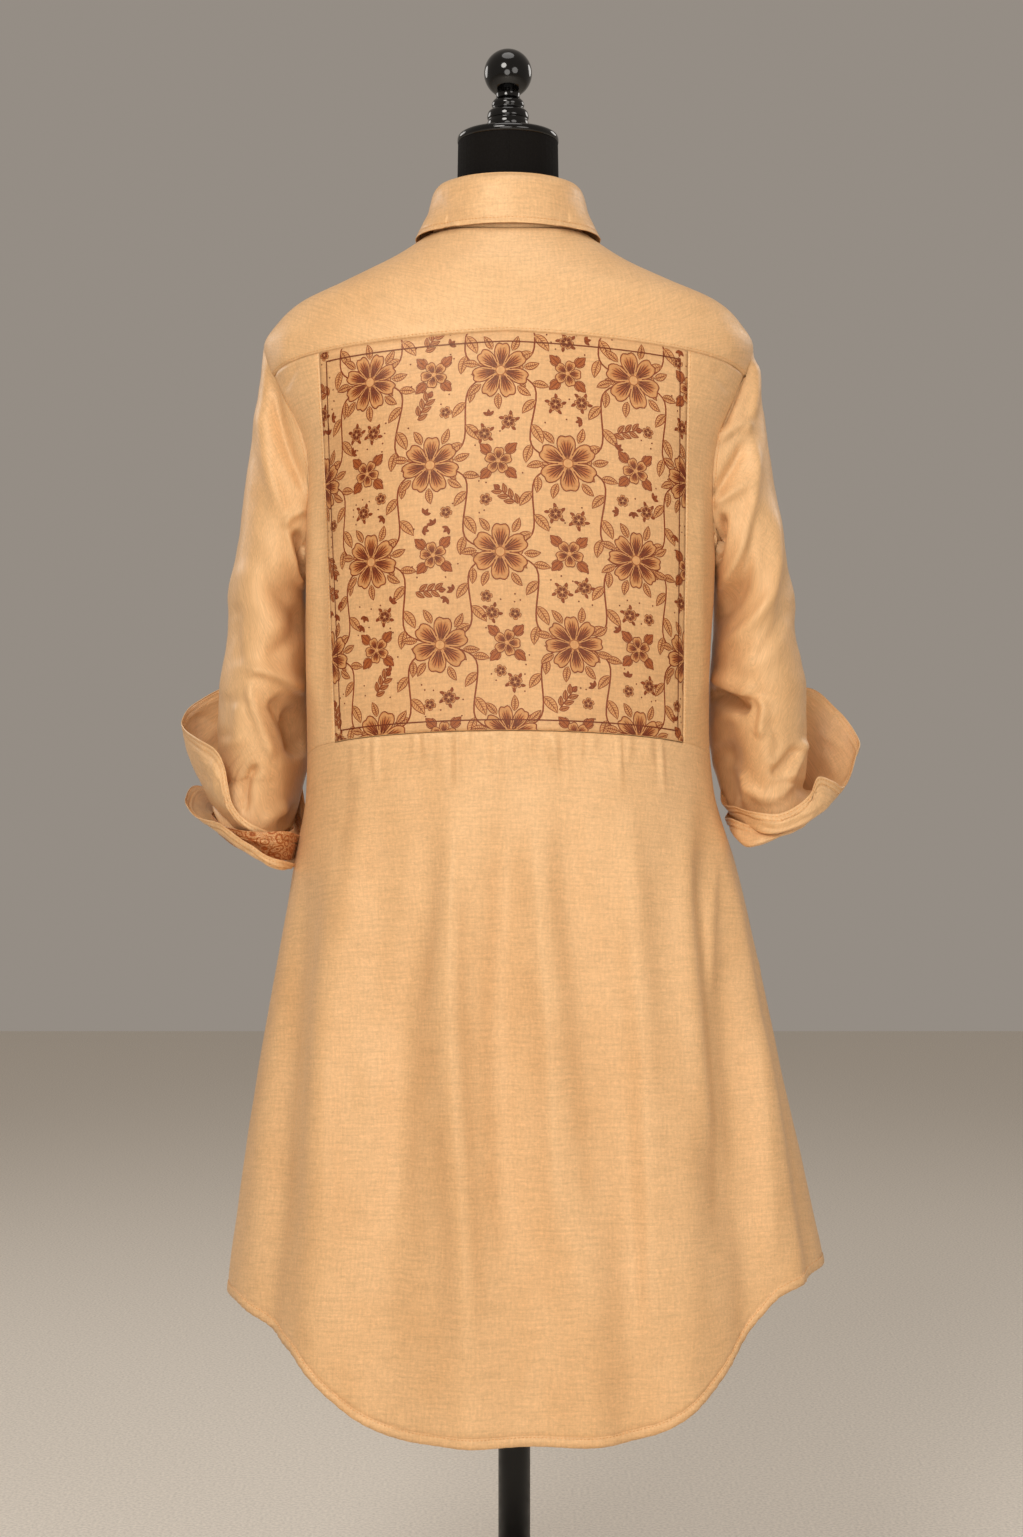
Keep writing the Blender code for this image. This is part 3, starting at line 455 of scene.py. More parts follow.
def grid_normals(points, closed=False):
    normal = np.cross(np.gradient(points, axis=0), steps_across(points, closed))
    length = np.maximum(np.linalg.norm(normal, axis=-1, keepdims=True), 1e-12)
    return normal / length


def moved_out(points, height, closed=False):
    return points + grid_normals(points, closed) * height[..., None]


# A ridge, or a trough if its height is negative, along a path of pixels in the back view: its
# height in mm, and how far in pixels it fades to the left and the right as the path is walked.
Crease = namedtuple("Crease", "height left right path")
CREASE_STEPS = 6  # the steps from one of its pixels to the next
CREASE_FADE = 0.22  # the share of its length over which each end fades
FACING_FADE = 0.3


def stroke(spots, crease, spread=1.0):
    """The share of a crease's height at each spot."""
    path = through(np.array(crease.path, float), CREASE_STEPS * (len(crease.path) - 1) + 1)
    steps = np.diff(path, axis=0)
    sizes = np.linalg.norm(steps, axis=1)
    starts = np.concatenate([[0], np.cumsum(sizes)])
    reach = 3 * spread * max(crease.left, crease.right)
    near = ((spots > path.min(0) - reach) & (spots < path.max(0) + reach)).all(-1)
    share = np.zeros(spots.shape[:-1])
    if not near.any():
        return share
    inside = spots[near]
    best = np.full(len(inside), np.inf)
    side = np.zeros(len(inside))
    along = np.zeros(len(inside))
    for start, step, size, far in zip(path, steps, sizes, starts):
        away = inside - start
        t = np.clip(away @ step / size**2, 0, 1)
        gap = np.linalg.norm(away - t[:, None] * step, axis=1)
        turn = step[0] * away[:, 1] - step[1] * away[:, 0]
        closer = gap < best
        best = np.where(closer, gap, best)
        side = np.where(closer, turn, side)
        along = np.where(closer, far + t * size, along)
    width = spread * np.where(side > 0, crease.right, crease.left)
    way = along / starts[-1]
    ends = smooth(way / CREASE_FADE), smooth((1 - way) / CREASE_FADE)
    share[near] = bump(best / width) * ends[0] * ends[1]
    return share


def creased(points, creases, closed=False, facing=-1, strength=1.0, spread=1.0):
    """The points moved by the given creases, where they face the back (-1) or front (+1)."""
    spots = seen(points)
    normal = grid_normals(points, closed)
    shown = smooth(facing * normal[..., 1] / FACING_FADE)
    height = sum(crease.height * stroke(spots, crease, spread) for crease in creases)
    height = MILLIMETRE * strength * height
    return points + normal * (height * shown)[..., None]


# ---------------------------------------------------------------- making meshes


def lengths(points, axis, closed=False):
    """The distance along the rows or columns of a grid from their start."""
    if closed:
        points = np.concatenate([points, points[:, :1]], axis=1)
    steps = np.linalg.norm(np.diff(points, axis=axis), axis=-1)
    start = np.zeros_like(np.take(steps, [0], axis=axis))
    return np.cumsum(np.concatenate([start, steps], axis=axis), axis=axis)


def grid_corners(rows, columns, closed):
    """Each face's corners as (row, column), where a closed grid's last column is its first."""
    last = columns if closed else columns - 1
    r, c = np.meshgrid(np.arange(rows - 1), np.arange(last), indexing="ij")
    corners = [(r + 1, c), (r + 1, c + 1), (r, c + 1), (r, c)]
    return np.stack([np.stack(corner, axis=-1) for corner in corners], axis=2).reshape(-1, 4, 2)


SHELL = 0.0009  # the cloth's thickness, inwards from its outer face


def new_object(name, mesh, material):
    mesh.materials.append(material)
    mesh.shade_smooth()
    return added(name, mesh)


def cloth(name, points, material, closed):
    """A thin shell: points are its outer face, in rows from the top down."""
    rows, columns = points.shape[:2]
    corners = grid_corners(rows, columns, closed)
    faces = corners[..., 0] * columns + corners[..., 1] % columns
    mesh = bpy.data.meshes.new(name)
    mesh.from_pydata(points.reshape(-1, 3).tolist(), [], faces.tolist())
    across = lengths(points, 1, closed)
    across -= across[:, columns // 2][:, None]
    down = lengths(points, 0)
    down = np.concatenate([down, down[:, :1]], axis=1) if closed else down
    uv = np.stack([across, -down], axis=-1)[corners[..., 0], corners[..., 1]]
    layer = mesh.uv_layers.new(name="cloth")
    layer.data.foreach_set("uv", uv.astype(np.float32).ravel())
    piece = new_object(name, mesh, material)
    wall = piece.modifiers.new("wall", "SOLIDIFY")
    wall.thickness = SHELL
    wall.offset = -1.0
    return piece


def sewn(name, points, nodes, slot, closed=False):
    """A cut piece of cloth, mapped by its own widths and lengths, in place of the named parts."""
    material = PRINTED if slot == "printed_cloth" else TAN
    piece = cloth(name, points, material, closed)
    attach(piece, BODY_NAME)
    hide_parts(*nodes)
    return piece


def plain_piece(name, spots, faces, material, nodes=()):
    mesh = bpy.data.meshes.new(name)
    mesh.from_pydata(np.asarray(spots).tolist(), [], faces)
    piece = new_object(name, mesh, material)
    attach(piece, BODY_NAME)
    if nodes:
        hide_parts(*nodes)
    return piece


def along_edge(points, distance, edge, closed=False):
    """A line on the cloth along one of its edges, at a distance from it, with its normals."""
    grid, normal = points, grid_normals(points, closed)
    if edge in ("left", "right"):
        grid, normal = grid.swapaxes(0, 1), normal.swapaxes(0, 1)
    if edge in ("foot", "right"):
        grid, normal = grid[::-1], normal[::-1]
    far = lengths(grid, 0)
    columns = range(grid.shape[1])
    line = [[np.interp(distance, far[:, c], grid[:, c, k]) for k in range(3)] for c in columns]
    up = [[np.interp(distance, far[:, c], normal[:, c, k]) for k in range(3)] for c in columns]
    return np.array(line), np.array(up)


STITCH_LENGTH = 0.0024
STITCH_GAP = 0.0010
STITCH_RADIUS = 0.00034
THREAD_ROUND = ((0.0, 1.0), (0.87, -0.5), (-0.87, -0.5))
THREAD_RISE = np.array([-0.5, 0.5, 0.5, -0.5])
THREAD_GIRTH = np.array([0.6, 1.0, 1.0, 0.6])


def stitched(name, line, normals, inside=False):
    """Separate stitches along a line on the cloth, each a small bowed thread."""
    normals = -normals if inside else normals
    far = np.concatenate([[0], np.cumsum(np.linalg.norm(np.diff(line, axis=0), axis=1))])
    spots, faces = [], []
    for i in range(max(1, int(far[-1] / (STITCH_LENGTH + STITCH_GAP)))):
        start = i * (STITCH_LENGTH + STITCH_GAP)
        at = np.linspace(start, start + STITCH_LENGTH, len(THREAD_RISE))
        spine = np.stack([np.interp(at, far, line[:, k]) for k in range(3)], axis=1)
        up = np.stack([np.interp(at, far, normals[:, k]) for k in range(3)], axis=1)
        up /= np.maximum(np.linalg.norm(up, axis=1, keepdims=True), 1e-9)
        ahead = spine[-1] - spine[0]
        side = np.cross(up, ahead / max(np.linalg.norm(ahead), 1e-9))
        middle = spine + up * (THREAD_RISE * STITCH_RADIUS)[:, None]
        first = len(spots)
        for k, girth in enumerate(THREAD_GIRTH * STITCH_RADIUS):
            spots += [middle[k] + girth * (a * side[k] + b * up[k]) for a, b in THREAD_ROUND]
        for k in range(len(THREAD_RISE) - 1):
            for j in range(3):
                a, b = first + 3 * k + j, first + 3 * k + (j + 1) % 3
                faces.append((a, b, b + 3, a + 3))
    return plain_piece(name, spots, faces, THREAD)


def turned_piece(name, profile, x, material, nodes, steps=96):
    """A turned piece: a profile of (radius, z) from its top down, round an upright axis."""
    turn = np.linspace(0, 2 * math.pi, steps, endpoint=False)
    profile = np.asarray(profile, float)
    rings = np.stack(
        [
            x + profile[:, :1] * np.cos(turn),
            profile[:, :1] * np.sin(turn),
            profile[:, 1:] + 0 * turn,
        ],
        axis=-1,
    )
    corners = grid_corners(len(profile), steps, True)
    faces = corners[..., 0] * steps + corners[..., 1] % steps
    top, foot = tuple(range(steps)), tuple(range((len(profile) - 1) * steps, len(profile) * steps))
    every = faces.tolist() + [top, foot[::-1]]
    return plain_piece(name, rings.reshape(-1, 3), every, material, nodes)


# ---------------------------------------------------------------- materials


def colour(red, green, blue):
    """A colour given as it looks on a screen, 0 to 255."""
    return [((c / 255 + 0.055) / 1.055) ** 2.4 for c in (red, green, blue)] + [1.0]


def new_material(name):
    material = bpy.data.materials.new(name)
    material.use_nodes = True
    return material, material.node_tree, material.node_tree.nodes["Principled BSDF"]


def feed(tree, socket, value):
    """Links another node's socket in, or sets a plain value."""
    if isinstance(value, bpy.types.NodeSocket):
        tree.links.new(value, socket)
    elif value is not None:
        socket.default_value = value


def node(tree, kind, **values):
    """A new node; values whose names start with in_ feed its inputs."""
    made = tree.nodes.new(kind)
    for key, value in values.items():
        if key.startswith("in_"):
            feed(tree, made.inputs[key[3:].replace("_", " ")], value)
        else:
            setattr(made, key, value)
    return made


def scaled(tree, source, scale):
    made = node(tree, "ShaderNodeMapping", in_Scale=scale, in_Vector=source)
    return made.outputs["Vector"]


def cloth_noise(tree, source, size, detail=3.0, rough=0.6):
    """Noise over the cloth; size gives its swells across and down, in metres."""
    place = scaled(tree, source, (1 / size[0], 1 / size[1], 1.0))
    made = node(tree, "ShaderNodeTexNoise", in_Scale=1.0, in_Detail=detail, in_Roughness=rough)
    feed(tree, made.inputs["Vector"], place)
    return made.outputs["Fac"]


def ramp(tree, factor, stops):
    made = node(tree, "ShaderNodeValToRGB", in_Fac=factor)
    elements = made.color_ramp.elements
    while len(elements) < len(stops):
        elements.new(0.5)
    for element, (place, value) in zip(elements, stops):
        element.position = place
        element.color = value
    return made.outputs["Color"]


def grey(level):
    return (level, level, level, 1.0)


def mixed(tree, blend, share, first, second):
    made = node(tree, "ShaderNodeMix", data_type="RGBA", blend_type=blend)
    for place, value in ((0, share), (6, first), (7, second)):
        feed(tree, made.inputs[place], value)
    return made.outputs[2]


def worked_out(tree, operation, *values):
    """A maths node on sockets or plain numbers."""
    made = node(tree, "ShaderNodeMath", operation=operation)
    for socket, value in zip(made.inputs, values):
        feed(tree, socket, value)
    return made.outputs[0]


def between(tree, value, low, high):
    """A value from low to high where a noise swings between its usual ends."""
    made = node(tree, "ShaderNodeMapRange", in_Value=value, in_From_Min=0.3, in_From_Max=0.7)
    feed(tree, made.inputs["To Min"], low)
    feed(tree, made.inputs["To Max"], high)
    return made.outputs["Result"]


def bumped(tree, height, distance, strength):
    made = node(tree, "ShaderNodeBump", in_Height=height, in_Distance=distance)
    feed(tree, made.inputs["Strength"], strength)
    return made.outputs["Normal"]


def finish(tree, shader, **values):
    """Feeds the shader's inputs, each named with _ for its spaces."""
    for key, value in values.items():
        feed(tree, shader.inputs[key.replace("_", " ")], value)


def woven(tree, source, base):
    """The base colour with the streaks of slubs, threads and grain of the weave."""
    layers = (
        (cloth_noise(tree, source, (0.0320, 0.0026), 4.0, 0.7), 0.86, 1.12, 0.8),
        (cloth_noise(tree, source, (0.0022, 0.0160), 4.0, 0.7), 0.87, 1.12, 0.7),
        (cloth_noise(tree, source, (0.0034, 0.0024), 3.0, 0.75), 0.86, 1.14, 0.8),
    )
    for layer, low, high, share in layers:
        tone = ramp(tree, layer, [(0.30, grey(low)), (0.5, grey(1.0)), (0.72, grey(high))])
        base = mixed(tree, "MULTIPLY", share, base, tone)
    return base


def weave_relief(tree, source):
    """The surface normal over the warp, the weft and their grain."""
    warp, weft, grain = (
        cloth_noise(tree, source, size, 2.0)
        for size in ((0.0090, 0.0007), (0.0008, 0.0075), (0.0014, 0.0012))
    )
    threads = worked_out(tree, "ADD", worked_out(tree, "ADD", warp, weft), grain)
    return bumped(tree, threads, WEAVE_HEIGHT, 0.75)


def cloth_material(name, light, mid, dark, inked=None):
    """A tan slub weave with a soft sheen. inked makes the share of ink on it."""
    material, tree, shader = new_material(name)
    source = node(tree, "ShaderNodeUVMap", uv_map="cloth").outputs["UV"]
    broad = cloth_noise(tree, source, (0.11, 0.18), 3.0)
    base = woven(tree, source, ramp(tree, broad, [(0.30, dark), (0.52, mid), (0.74, light)]))
    if inked:
        base = mixed(tree, "MULTIPLY", 1.0, base, ramp(tree, inked(tree, source), INK_STOPS))
    finish(
        tree,
        shader,
        Base_Color=base,
        Roughness=between(tree, cloth_noise(tree, source, (0.0040, 0.0060), 3.0), 0.34, 0.48),
        Specular_IOR_Level=0.6,
        Specular_Tint=colour(255, 232, 200),
        Sheen_Weight=0.10,
        Sheen_Roughness=0.45,
        Sheen_Tint=colour(255, 220, 175),
        Normal=weave_relief(tree, source),
    )
    return material


def plain_material(name, base, rough, coat=0.0, size=0.02, relief=0.0, specular=0.5):
    """A hard or knitted finish with slight unevenness of its tone, gloss and surface."""
    material, tree, shader = new_material(name)
    source = node(tree, "ShaderNodeTexCoord").outputs["Object"]
    noisy = node(tree, "ShaderNodeTexNoise", in_Scale=1 / size, in_Detail=4.0, in_Vector=source)
    noisy = noisy.outputs["Fac"]
    darker = [0.88 * c for c in base[:3]] + [1.0]
    lighter = [min(1.12 * c, 1.0) for c in base[:3]] + [1.0]
    finish(
        tree,
        shader,
        Base_Color=ramp(tree, noisy, [(0.35, darker), (0.5, base), (0.68, lighter)]),
        Roughness=between(tree, noisy, rough * 0.85, min(rough * 1.2, 1.0)),
        Specular_IOR_Level=specular,
        Coat_Weight=coat,
        Coat_Roughness=0.05,
        Normal=bumped(tree, noisy, relief, 0.7) if relief else None,
    )
    return material


INK_STOPS = [
    (0.0, (1.0, 1.0, 1.0, 1.0)),
    (0.30, (0.84, 0.68, 0.52, 1.0)),
    (0.60, (0.58, 0.27, 0.12, 1.0)),
    (0.85, (0.33, 0.085, 0.03, 1.0)),
    (1.0, (0.19, 0.04, 0.015, 1.0)),
]
WEAVE_HEIGHT = 0.00016
BAND_SCALE = (110.0, 130.0, 1.0)
BAND_RINGS = 17.0
BAND_LINES = 46.0


def drawn_ink(tree, source):
    """The ink that the drawn shapes carry, worn a little by the weave."""
    tone = node(tree, "ShaderNodeAttribute", attribute_name="ink").outputs["Fac"]
    uneven = cloth_noise(tree, source, (0.0022, 0.0020), 3.0, 0.7)
    return worked_out(tree, "MULTIPLY", tone, worked_out(tree, "MULTIPLY_ADD", uneven, 0.5, 0.78))


def band_ink(tree, source):
    """A small all-over print: dark flower hearts in rings, among fine leaf strokes."""
    cells = node(tree, "ShaderNodeTexVoronoi", in_Scale=1.0, in_Randomness=0.75)
    feed(tree, cells.inputs["Vector"], scaled(tree, source, BAND_SCALE))
    strokes = cloth_noise(tree, source, (0.0030, 0.0022), 2.0, 0.5)
    rings, lines = (
        worked_out(tree, "SINE", worked_out(tree, "MULTIPLY", value, rate), 0.0)
        for value, rate in ((cells.outputs["Distance"], BAND_RINGS), (strokes, BAND_LINES))
    )
    both = worked_out(tree, "MAXIMUM", rings, lines)
    return worked_out(tree, "MULTIPLY_ADD", both, 0.55, 0.20)


BARE = (colour(225, 182, 134), colour(221, 177, 128), colour(215, 169, 119))
GROUND = (colour(218, 172, 124), colour(213, 166, 117), colour(206, 157, 108))
TAN = cloth_material("tan_slub_cloth", *BARE)
PRINTED = cloth_material("printed_slub_cloth", *GROUND)
INK = cloth_material("block_print_ink", *GROUND, drawn_ink)
BAND = cloth_material("printed_band_cloth", *GROUND, band_ink)
THREAD = plain_material("sewing_thread", colour(216, 156, 92), 0.6, size=0.004)
BUTTON = plain_material("button_resin", colour(206, 156, 98), 0.26, coat=0.3, size=0.006)
# Painted shade: flat dark discs on each button's face stand in for the shade inside its four holes.
PAINTED_HOLE_SHADE = plain_material("button_hole_shade", colour(70, 44, 24), 0.8, size=0.002)
JERSEY = plain_material(
    "black_jersey", colour(15, 12, 10), 0.9, size=0.0012, relief=0.0003, specular=0.15
)
LACQUER = plain_material("black_lacquer", colour(5, 4, 4), 0.09, coat=0.25, size=0.03, specular=0.4)
STEEL = plain_material("black_steel", colour(11, 9, 7), 0.38, size=0.01, specular=0.3)
FLOOR = plain_material("pale_floor", colour(236, 229, 219), 0.8, size=0.004)

# ---------------------------------------------------------------- back, yoke and fronts

HEM_BAND = 0.0088
HEM_PUCKER = 0.0006
HEM_PUCKER_REACH = 0.030
HEM_GROOVE = 0.0012
SKIRT_LENGTH = 0.6
CORNER_FADE = 0.6  # degrees beside the panel over which the skirt passes under it
TUCK = 0.0010  # how deep the skirt's gathered edge dips under the panel
HEM_STITCH = HEM_BAND - 0.001
STRIP_STITCH = 0.0022
YOKE_STITCH = 0.0030
SHOULDER_EASE = 0.0013  # how far the yoke stands off the form over the shoulders
SEAM_DIP = 0.0007
PLACKET_STITCH = 0.0024
GATHER_REACH = 50.0


def gather_relief(angle, drop):
    """The small gathers under the print panel, uneven in depth, width and length."""
    place = (angle + GATHER_REACH) / (2 * GATHER_REACH) * GATHERS
    place = place + 0.35 * np.sin(0.7 * place) + 0.2 * np.sin(1.9 * place + 1.0)
    deep = 0.75 + 0.5 * np.sin(2.3 * place) + 0.35 * np.sin(0.9 * place + 1)
    reach = GATHER_LENGTH * (0.75 + 0.35 * np.sin(1.7 * place + 0.5))
    fade = (0.35 + 2.6 * drop / reach) * (1 - smooth(drop / reach))
    inside = 1 - smooth((np.abs(angle) - 41) / 7)
    wave = 0.5 - 0.5 * np.cos(2 * np.pi * place)
    broad = 0.0022 * np.sin(0.55 * place + 0.6) * np.sin(0.23 * place + 1.0)
    long_fade = smooth(drop / 0.05) * (1 - smooth((drop - 0.12) / 0.34))
    return inside * (0.0030 * deep * fade * wave + 1.6 * broad * long_fade)


def hem_pucker(angle, above):
    """Small ripples of the rolled hem, strongest at its edge."""
    wave = np.sin(2.6 * angle) * 0.6 + np.sin(4.1 * angle + 1.0) * 0.4
    return HEM_PUCKER * wave * (1 - smooth(above / HEM_PUCKER_REACH))


SKIRT_CREASES = table(
    Crease,
    (3.2, 9, 12, ((451, 790), (451, 900), (453, 1034), (466, 1276), (468, 1400))),
    (-2.6, 12, 12, ((428, 770), (428, 900), (405, 1034), (398, 1276))),
    (-2.8, 12, 11, ((505, 780), (504, 900), (498, 1034), (510, 1300))),
    (2.6, 11, 12, ((540, 770), (540, 900), (548, 1034), (560, 1276))),
    (-2.4, 12, 14, ((571, 770), (571, 900), (585, 1060), (600, 1276))),
    (3.4, 14, 10, ((634, 770), (634, 900), (645, 1060), (651, 1276), (650, 1400))),
    (3.0, 8, 8, ((689, 790), (689, 900), (698, 1034), (716, 1180))),
    (-3.2, 9, 9, ((702, 790), (702, 900), (716, 1034), (726, 1276))),
    (2.8, 12, 12, ((352, 790), (336, 900), (323, 1034), (326, 1276))),
    (-2.6, 11, 12, ((318, 860), (300, 1000), (284, 1180), (284, 1276))),
    (-1.8, 14, 14, ((392, 790), (380, 930), (372, 1080))),
    (2.0, 8, 9, ((757, 1010), (768, 1150), (774, 1276))),
    (-0.9, 2, 3, ((655, 1356), (659, 1364), (662, 1374))),
    (0.7, 2, 2, ((756, 958), (760, 965), (762, 974))),
    (1.2, 3, 3, ((716, 850), (714, 920), (716, 1000))),
)
STRIP_CREASES = table(
    Crease,
    (1.6, 5, 5, ((312, 470), (311, 600), (313, 720))),
    (-1.4, 4, 4, ((322, 480), (322, 620), (324, 730))),
    (1.6, 5, 5, ((700, 470), (699, 600), (700, 720))),
    (-0.8, 2, 2, ((298, 363), (291, 376), (284, 392))),
    (-0.8, 2, 2, ((712, 367), (721, 380), (731, 394))),
)
BACK_FOLDS = SKIRT_CREASES + STRIP_CREASES
BACK_STRENGTH = 2.1
BACK_SPREAD = 1.4
YOKE_CREASES = table(
    Crease,
    (0.7, 9, 9, ((440, 262), (480, 256), (520, 262))),
    (-0.6, 8, 8, ((545, 252), (600, 262), (640, 280))),
    (1.3, 9, 9, ((300, 318), (288, 340), (284, 368))),
    (1.2, 9, 9, ((712, 312), (728, 334), (733, 360))),
    (-0.9, 10, 10, ((360, 285), (400, 300), (430, 322))),
)


def back_points(z, angle, quiet):
    """The outer face of the back's skirt and side strips; quiet is 0 where it is sewn flat."""
    above = z - hem_height(angle)
    points = body_points(z, angle, WALL + hem_pucker(angle, above))
    groove = HEM_GROOVE * bump((above - HEM_BAND) / HEM_GROOVE)
    groove = groove - 0.0005 * smooth((HEM_BAND - above) / 0.002)
    return moved_out(points, uneven(points, "back") * quiet - groove)


def make_skirt(columns=236, rows=130):
    last = 90 - SEAM_ANGLE
    angle = np.linspace(-last, last, columns)
    band = 1 - np.array([HEM_BAND + HEM_GROOVE, HEM_BAND, HEM_BAND - HEM_GROOVE]) / SKIRT_LENGTH
    share = np.concatenate([[0.0, 0.0015, 0.004], np.linspace(0.008, 1.0, rows), band])
    share = np.sort(share)[:, None]
    left, right = (panel_edge(side, PANEL_FOOT - 0.008) for side in (-1, 1))
    under = smooth((angle - left) / CORNER_FADE + 1) * smooth((right - angle) / CORNER_FADE + 1)
    top = panel_foot(angle) - 0.9 * SEAM * under
    z = top + (hem_height(angle) - top) * share
    angle = np.broadcast_to(angle, z.shape)
    drop = top - z
    points = back_points(z, angle, mix(1.0, smooth(drop / 0.02), under))
    points = moved_out(points, gather_relief(angle, drop) - TUCK * under * bump(drop / 0.0015))
    points = creased(points, BACK_FOLDS, strength=BACK_STRENGTH, spread=BACK_SPREAD)
    hem = stitched("hem_stitches_back", *along_edge(points, HEM_STITCH, "foot"))
    return sewn("back_skirt", points, ["back"], "tan_cloth")


def strip_grid(side, columns=22, rows=120):
    down = np.linspace(0, 1, rows)[:, None]
    share = np.linspace(0, 1, columns)[None, :]
    z = YOKE_BACK + (PANEL_FOOT - YOKE_BACK) * down + 0 * share
    for _ in range(3):
        armhole = 90 - armhole_angle(armhole_step(z), ARMHOLE_BACK)
        outer = np.where(z > UNDERARM, armhole, 90.0)
        inner = np.abs(panel_edge(side, z)) + SEAM_ANGLE
        angle = mix(inner, outer - SEAM_ANGLE, share)
        z = mix(yoke_seam(angle) - SEAM / 2, panel_foot(angle), down)
    return (z, angle) if side > 0 else (z[:, ::-1], -angle[:, ::-1])


def make_strips():
    for word, side in SIDES:
        name = "back_strip_" + word
        z, angle = strip_grid(side)
        points = back_points(z, angle, 1.0)
        points = creased(points, BACK_FOLDS, strength=BACK_STRENGTH, spread=BACK_SPREAD)
        panel_side = "right" if side < 0 else "left"
        run = stitched(name + "_stitches", *along_edge(points, STRIP_STITCH, panel_side))
        sewn(name, points, ["back"], "tan_cloth")


def make_yoke(columns=140, rows=50):
    share = np.linspace(1.0, 0.0, rows)
    first = float(armhole_height(YOKE_END_ROW))
    level = mix(first, NECK_SIDE, share)
    shoulder = np.clip((level - SHOULDER_END) / (NECK_SIDE - SHOULDER_END), 0, 1)
    step = armhole_step(np.minimum(level, SHOULDER_END))
    end = np.where(
        level < SHOULDER_END,
        90 - armhole_angle(step, ARMHOLE_BACK),
        mix(90, NECK_SIDE_ANGLE, shoulder),
    )
    first_end = float(90 - armhole_angle(YOKE_END_ROW, ARMHOLE_BACK))
    angle = end[:, None] * np.linspace(-1, 1, columns)[None, :]
    seam = yoke_seam(angle * first_end / end[:, None])
    z = mix(seam, neck_seam(angle), share[:, None])
    points = body_points(z, angle, WALL, folded=False)
    edge = np.minimum(share, 1 - share)[:, None]
    relief = uneven(points, "yoke") * smooth(edge / 0.10)
    relief = relief + SHOULDER_EASE * smooth((np.abs(angle) - 50) / 35)
    points = creased(moved_out(points, relief - SEAM_DIP * bump(edge / 0.010)), YOKE_CREASES)
    run = stitched("yoke_stitches", *along_edge(points, YOKE_STITCH, "foot"))
    sewn("back_yoke_cloth", points, ["back_yoke"], "tan_cloth")


def front_grid(side, columns=84):
    """The front from its neckline and shoulder seam down to the hem."""
    last = 180 - 2 * SEAM_ANGLE
    across = np.linspace(0, 1, columns)
    rows = []
    for share in np.linspace(1.0, 0.0, 20):
        start = mix(90, NECK_SIDE_ANGLE, share) + SEAM_ANGLE
        angle = mix(start, last, across)
        rows.append((mix(SHOULDER_END, neck_seam(angle), share), angle))
    for step in np.linspace(0.3, ARMHOLE_STEPS, 48):
        start = 90 + armhole_angle(step, ARMHOLE_FRONT) + SEAM_ANGLE
        angle = mix(start, last, across)
        rows.append((armhole_height(step) + 0 * angle, angle))
    for share in np.linspace(0, 1, 92)[1:]:
        angle = mix(90 + SEAM_ANGLE, last, across)
        rows.append((mix(UNDERARM, hem_height(side * angle), share), angle))
    z = np.array([row[0] for row in rows])
    angle = side * np.array([row[1] for row in rows])
    return (z, angle) if side > 0 else (z[:, ::-1], angle[:, ::-1])


FRONT_CREASES = table(
    Crease,
    (3.0, 9, 9, ((330, 430), (365, 452), (402, 470))),
    (-2.6, 9, 9, ((318, 462), (355, 492), (392, 505))),
    (2.8, 9, 9, ((688, 432), (652, 455), (610, 472))),
    (-2.4, 9, 9, ((700, 470), (662, 498), (628, 508))),
    (2.4, 12, 12, ((432, 600), (420, 720), (405, 860))),
    (2.6, 12, 12, ((585, 610), (600, 730), (612, 880))),
    (-2.2, 10, 10, ((470, 640), (462, 800), (455, 980))),
    (-2.2, 10, 10, ((552, 660), (560, 820), (566, 1000))),
)


def make_fronts():
    for word, side in SIDES:
        name = "front_" + word
        z, angle = front_grid(side)
        above = z - hem_height(angle)
        folds = fold_height(z, angle) * smooth((SHOULDER_END - z) / 0.05)
        points = body_points(z, angle, WALL + hem_pucker(angle, above) + folds, folded=False)
        flat = smooth((178.0 - np.abs(angle)) / 14) * smooth(above / 0.03)
        relief = uneven(points, "front") * flat
        points = moved_out(points, relief - SEAM_DIP * bump((above - HEM_BAND) / 0.0014))
        points = creased(points, FRONT_CREASES, facing=1)
        hem = stitched(name + "_hem_stitches", *along_edge(points, HEM_STITCH, "foot"))
        sewn(name + "_cloth", points, [name], "tan_cloth")


def make_placket(columns=9, rows=260):
    z = np.linspace(NECK_FRONT - 0.002, HEM_FRONT, rows)[:, None]
    half = np.degrees(np.arcsin(PLACKET_WIDTH / 2 / column(BODY, "z", z, "right")))
    angle = 180 + half * np.linspace(-1, 1, columns)[None, :]
    points = body_points(z, angle, 2 * WALL + SEAM)
    points = moved_out(points, uneven(points, "placket"))
    runs = [
        stitched(f"placket_stitches_{edge}", *along_edge(points, PLACKET_STITCH, edge))
        for edge in ("left", "right")
    ]
    sewn("placket_cloth", points, ["placket"], "tan_cloth")


BUTTON_PROFILE = (
    (0.0, 0.0009),
    (0.0030, 0.0010),
    (0.0040, 0.0014),
    (0.0047, 0.0020),
    (0.0053, 0.0020),
    (0.0058, 0.0013),
    (0.0058, 0.0004),
    (0.0050, 0.0),
    (0.0, 0.0),
)
BUTTON_FIRST = 0.030
HOLE_REACH = 0.0013
HOLE_RADIUS = 0.00055
HOLE_SIDES = 10
HOLE_TURNS = (45, 135, 225, 315)
HOLE_LIFT = 0.00098
THREAD_LIFT = 0.00115


def tilted(piece, place, facing):
    """Moves a piece made round the upright axis at the origin to a place, facing a direction."""
    turn = facing.to_track_quat("Z", "Y").to_matrix().to_4x4()
    turn.translation = place
    piece.data.transform(turn)


def toward(turn):
    """The level direction at a turn in degrees."""
    return np.array([math.cos(math.radians(turn)), math.sin(math.radians(turn)), 0.0])


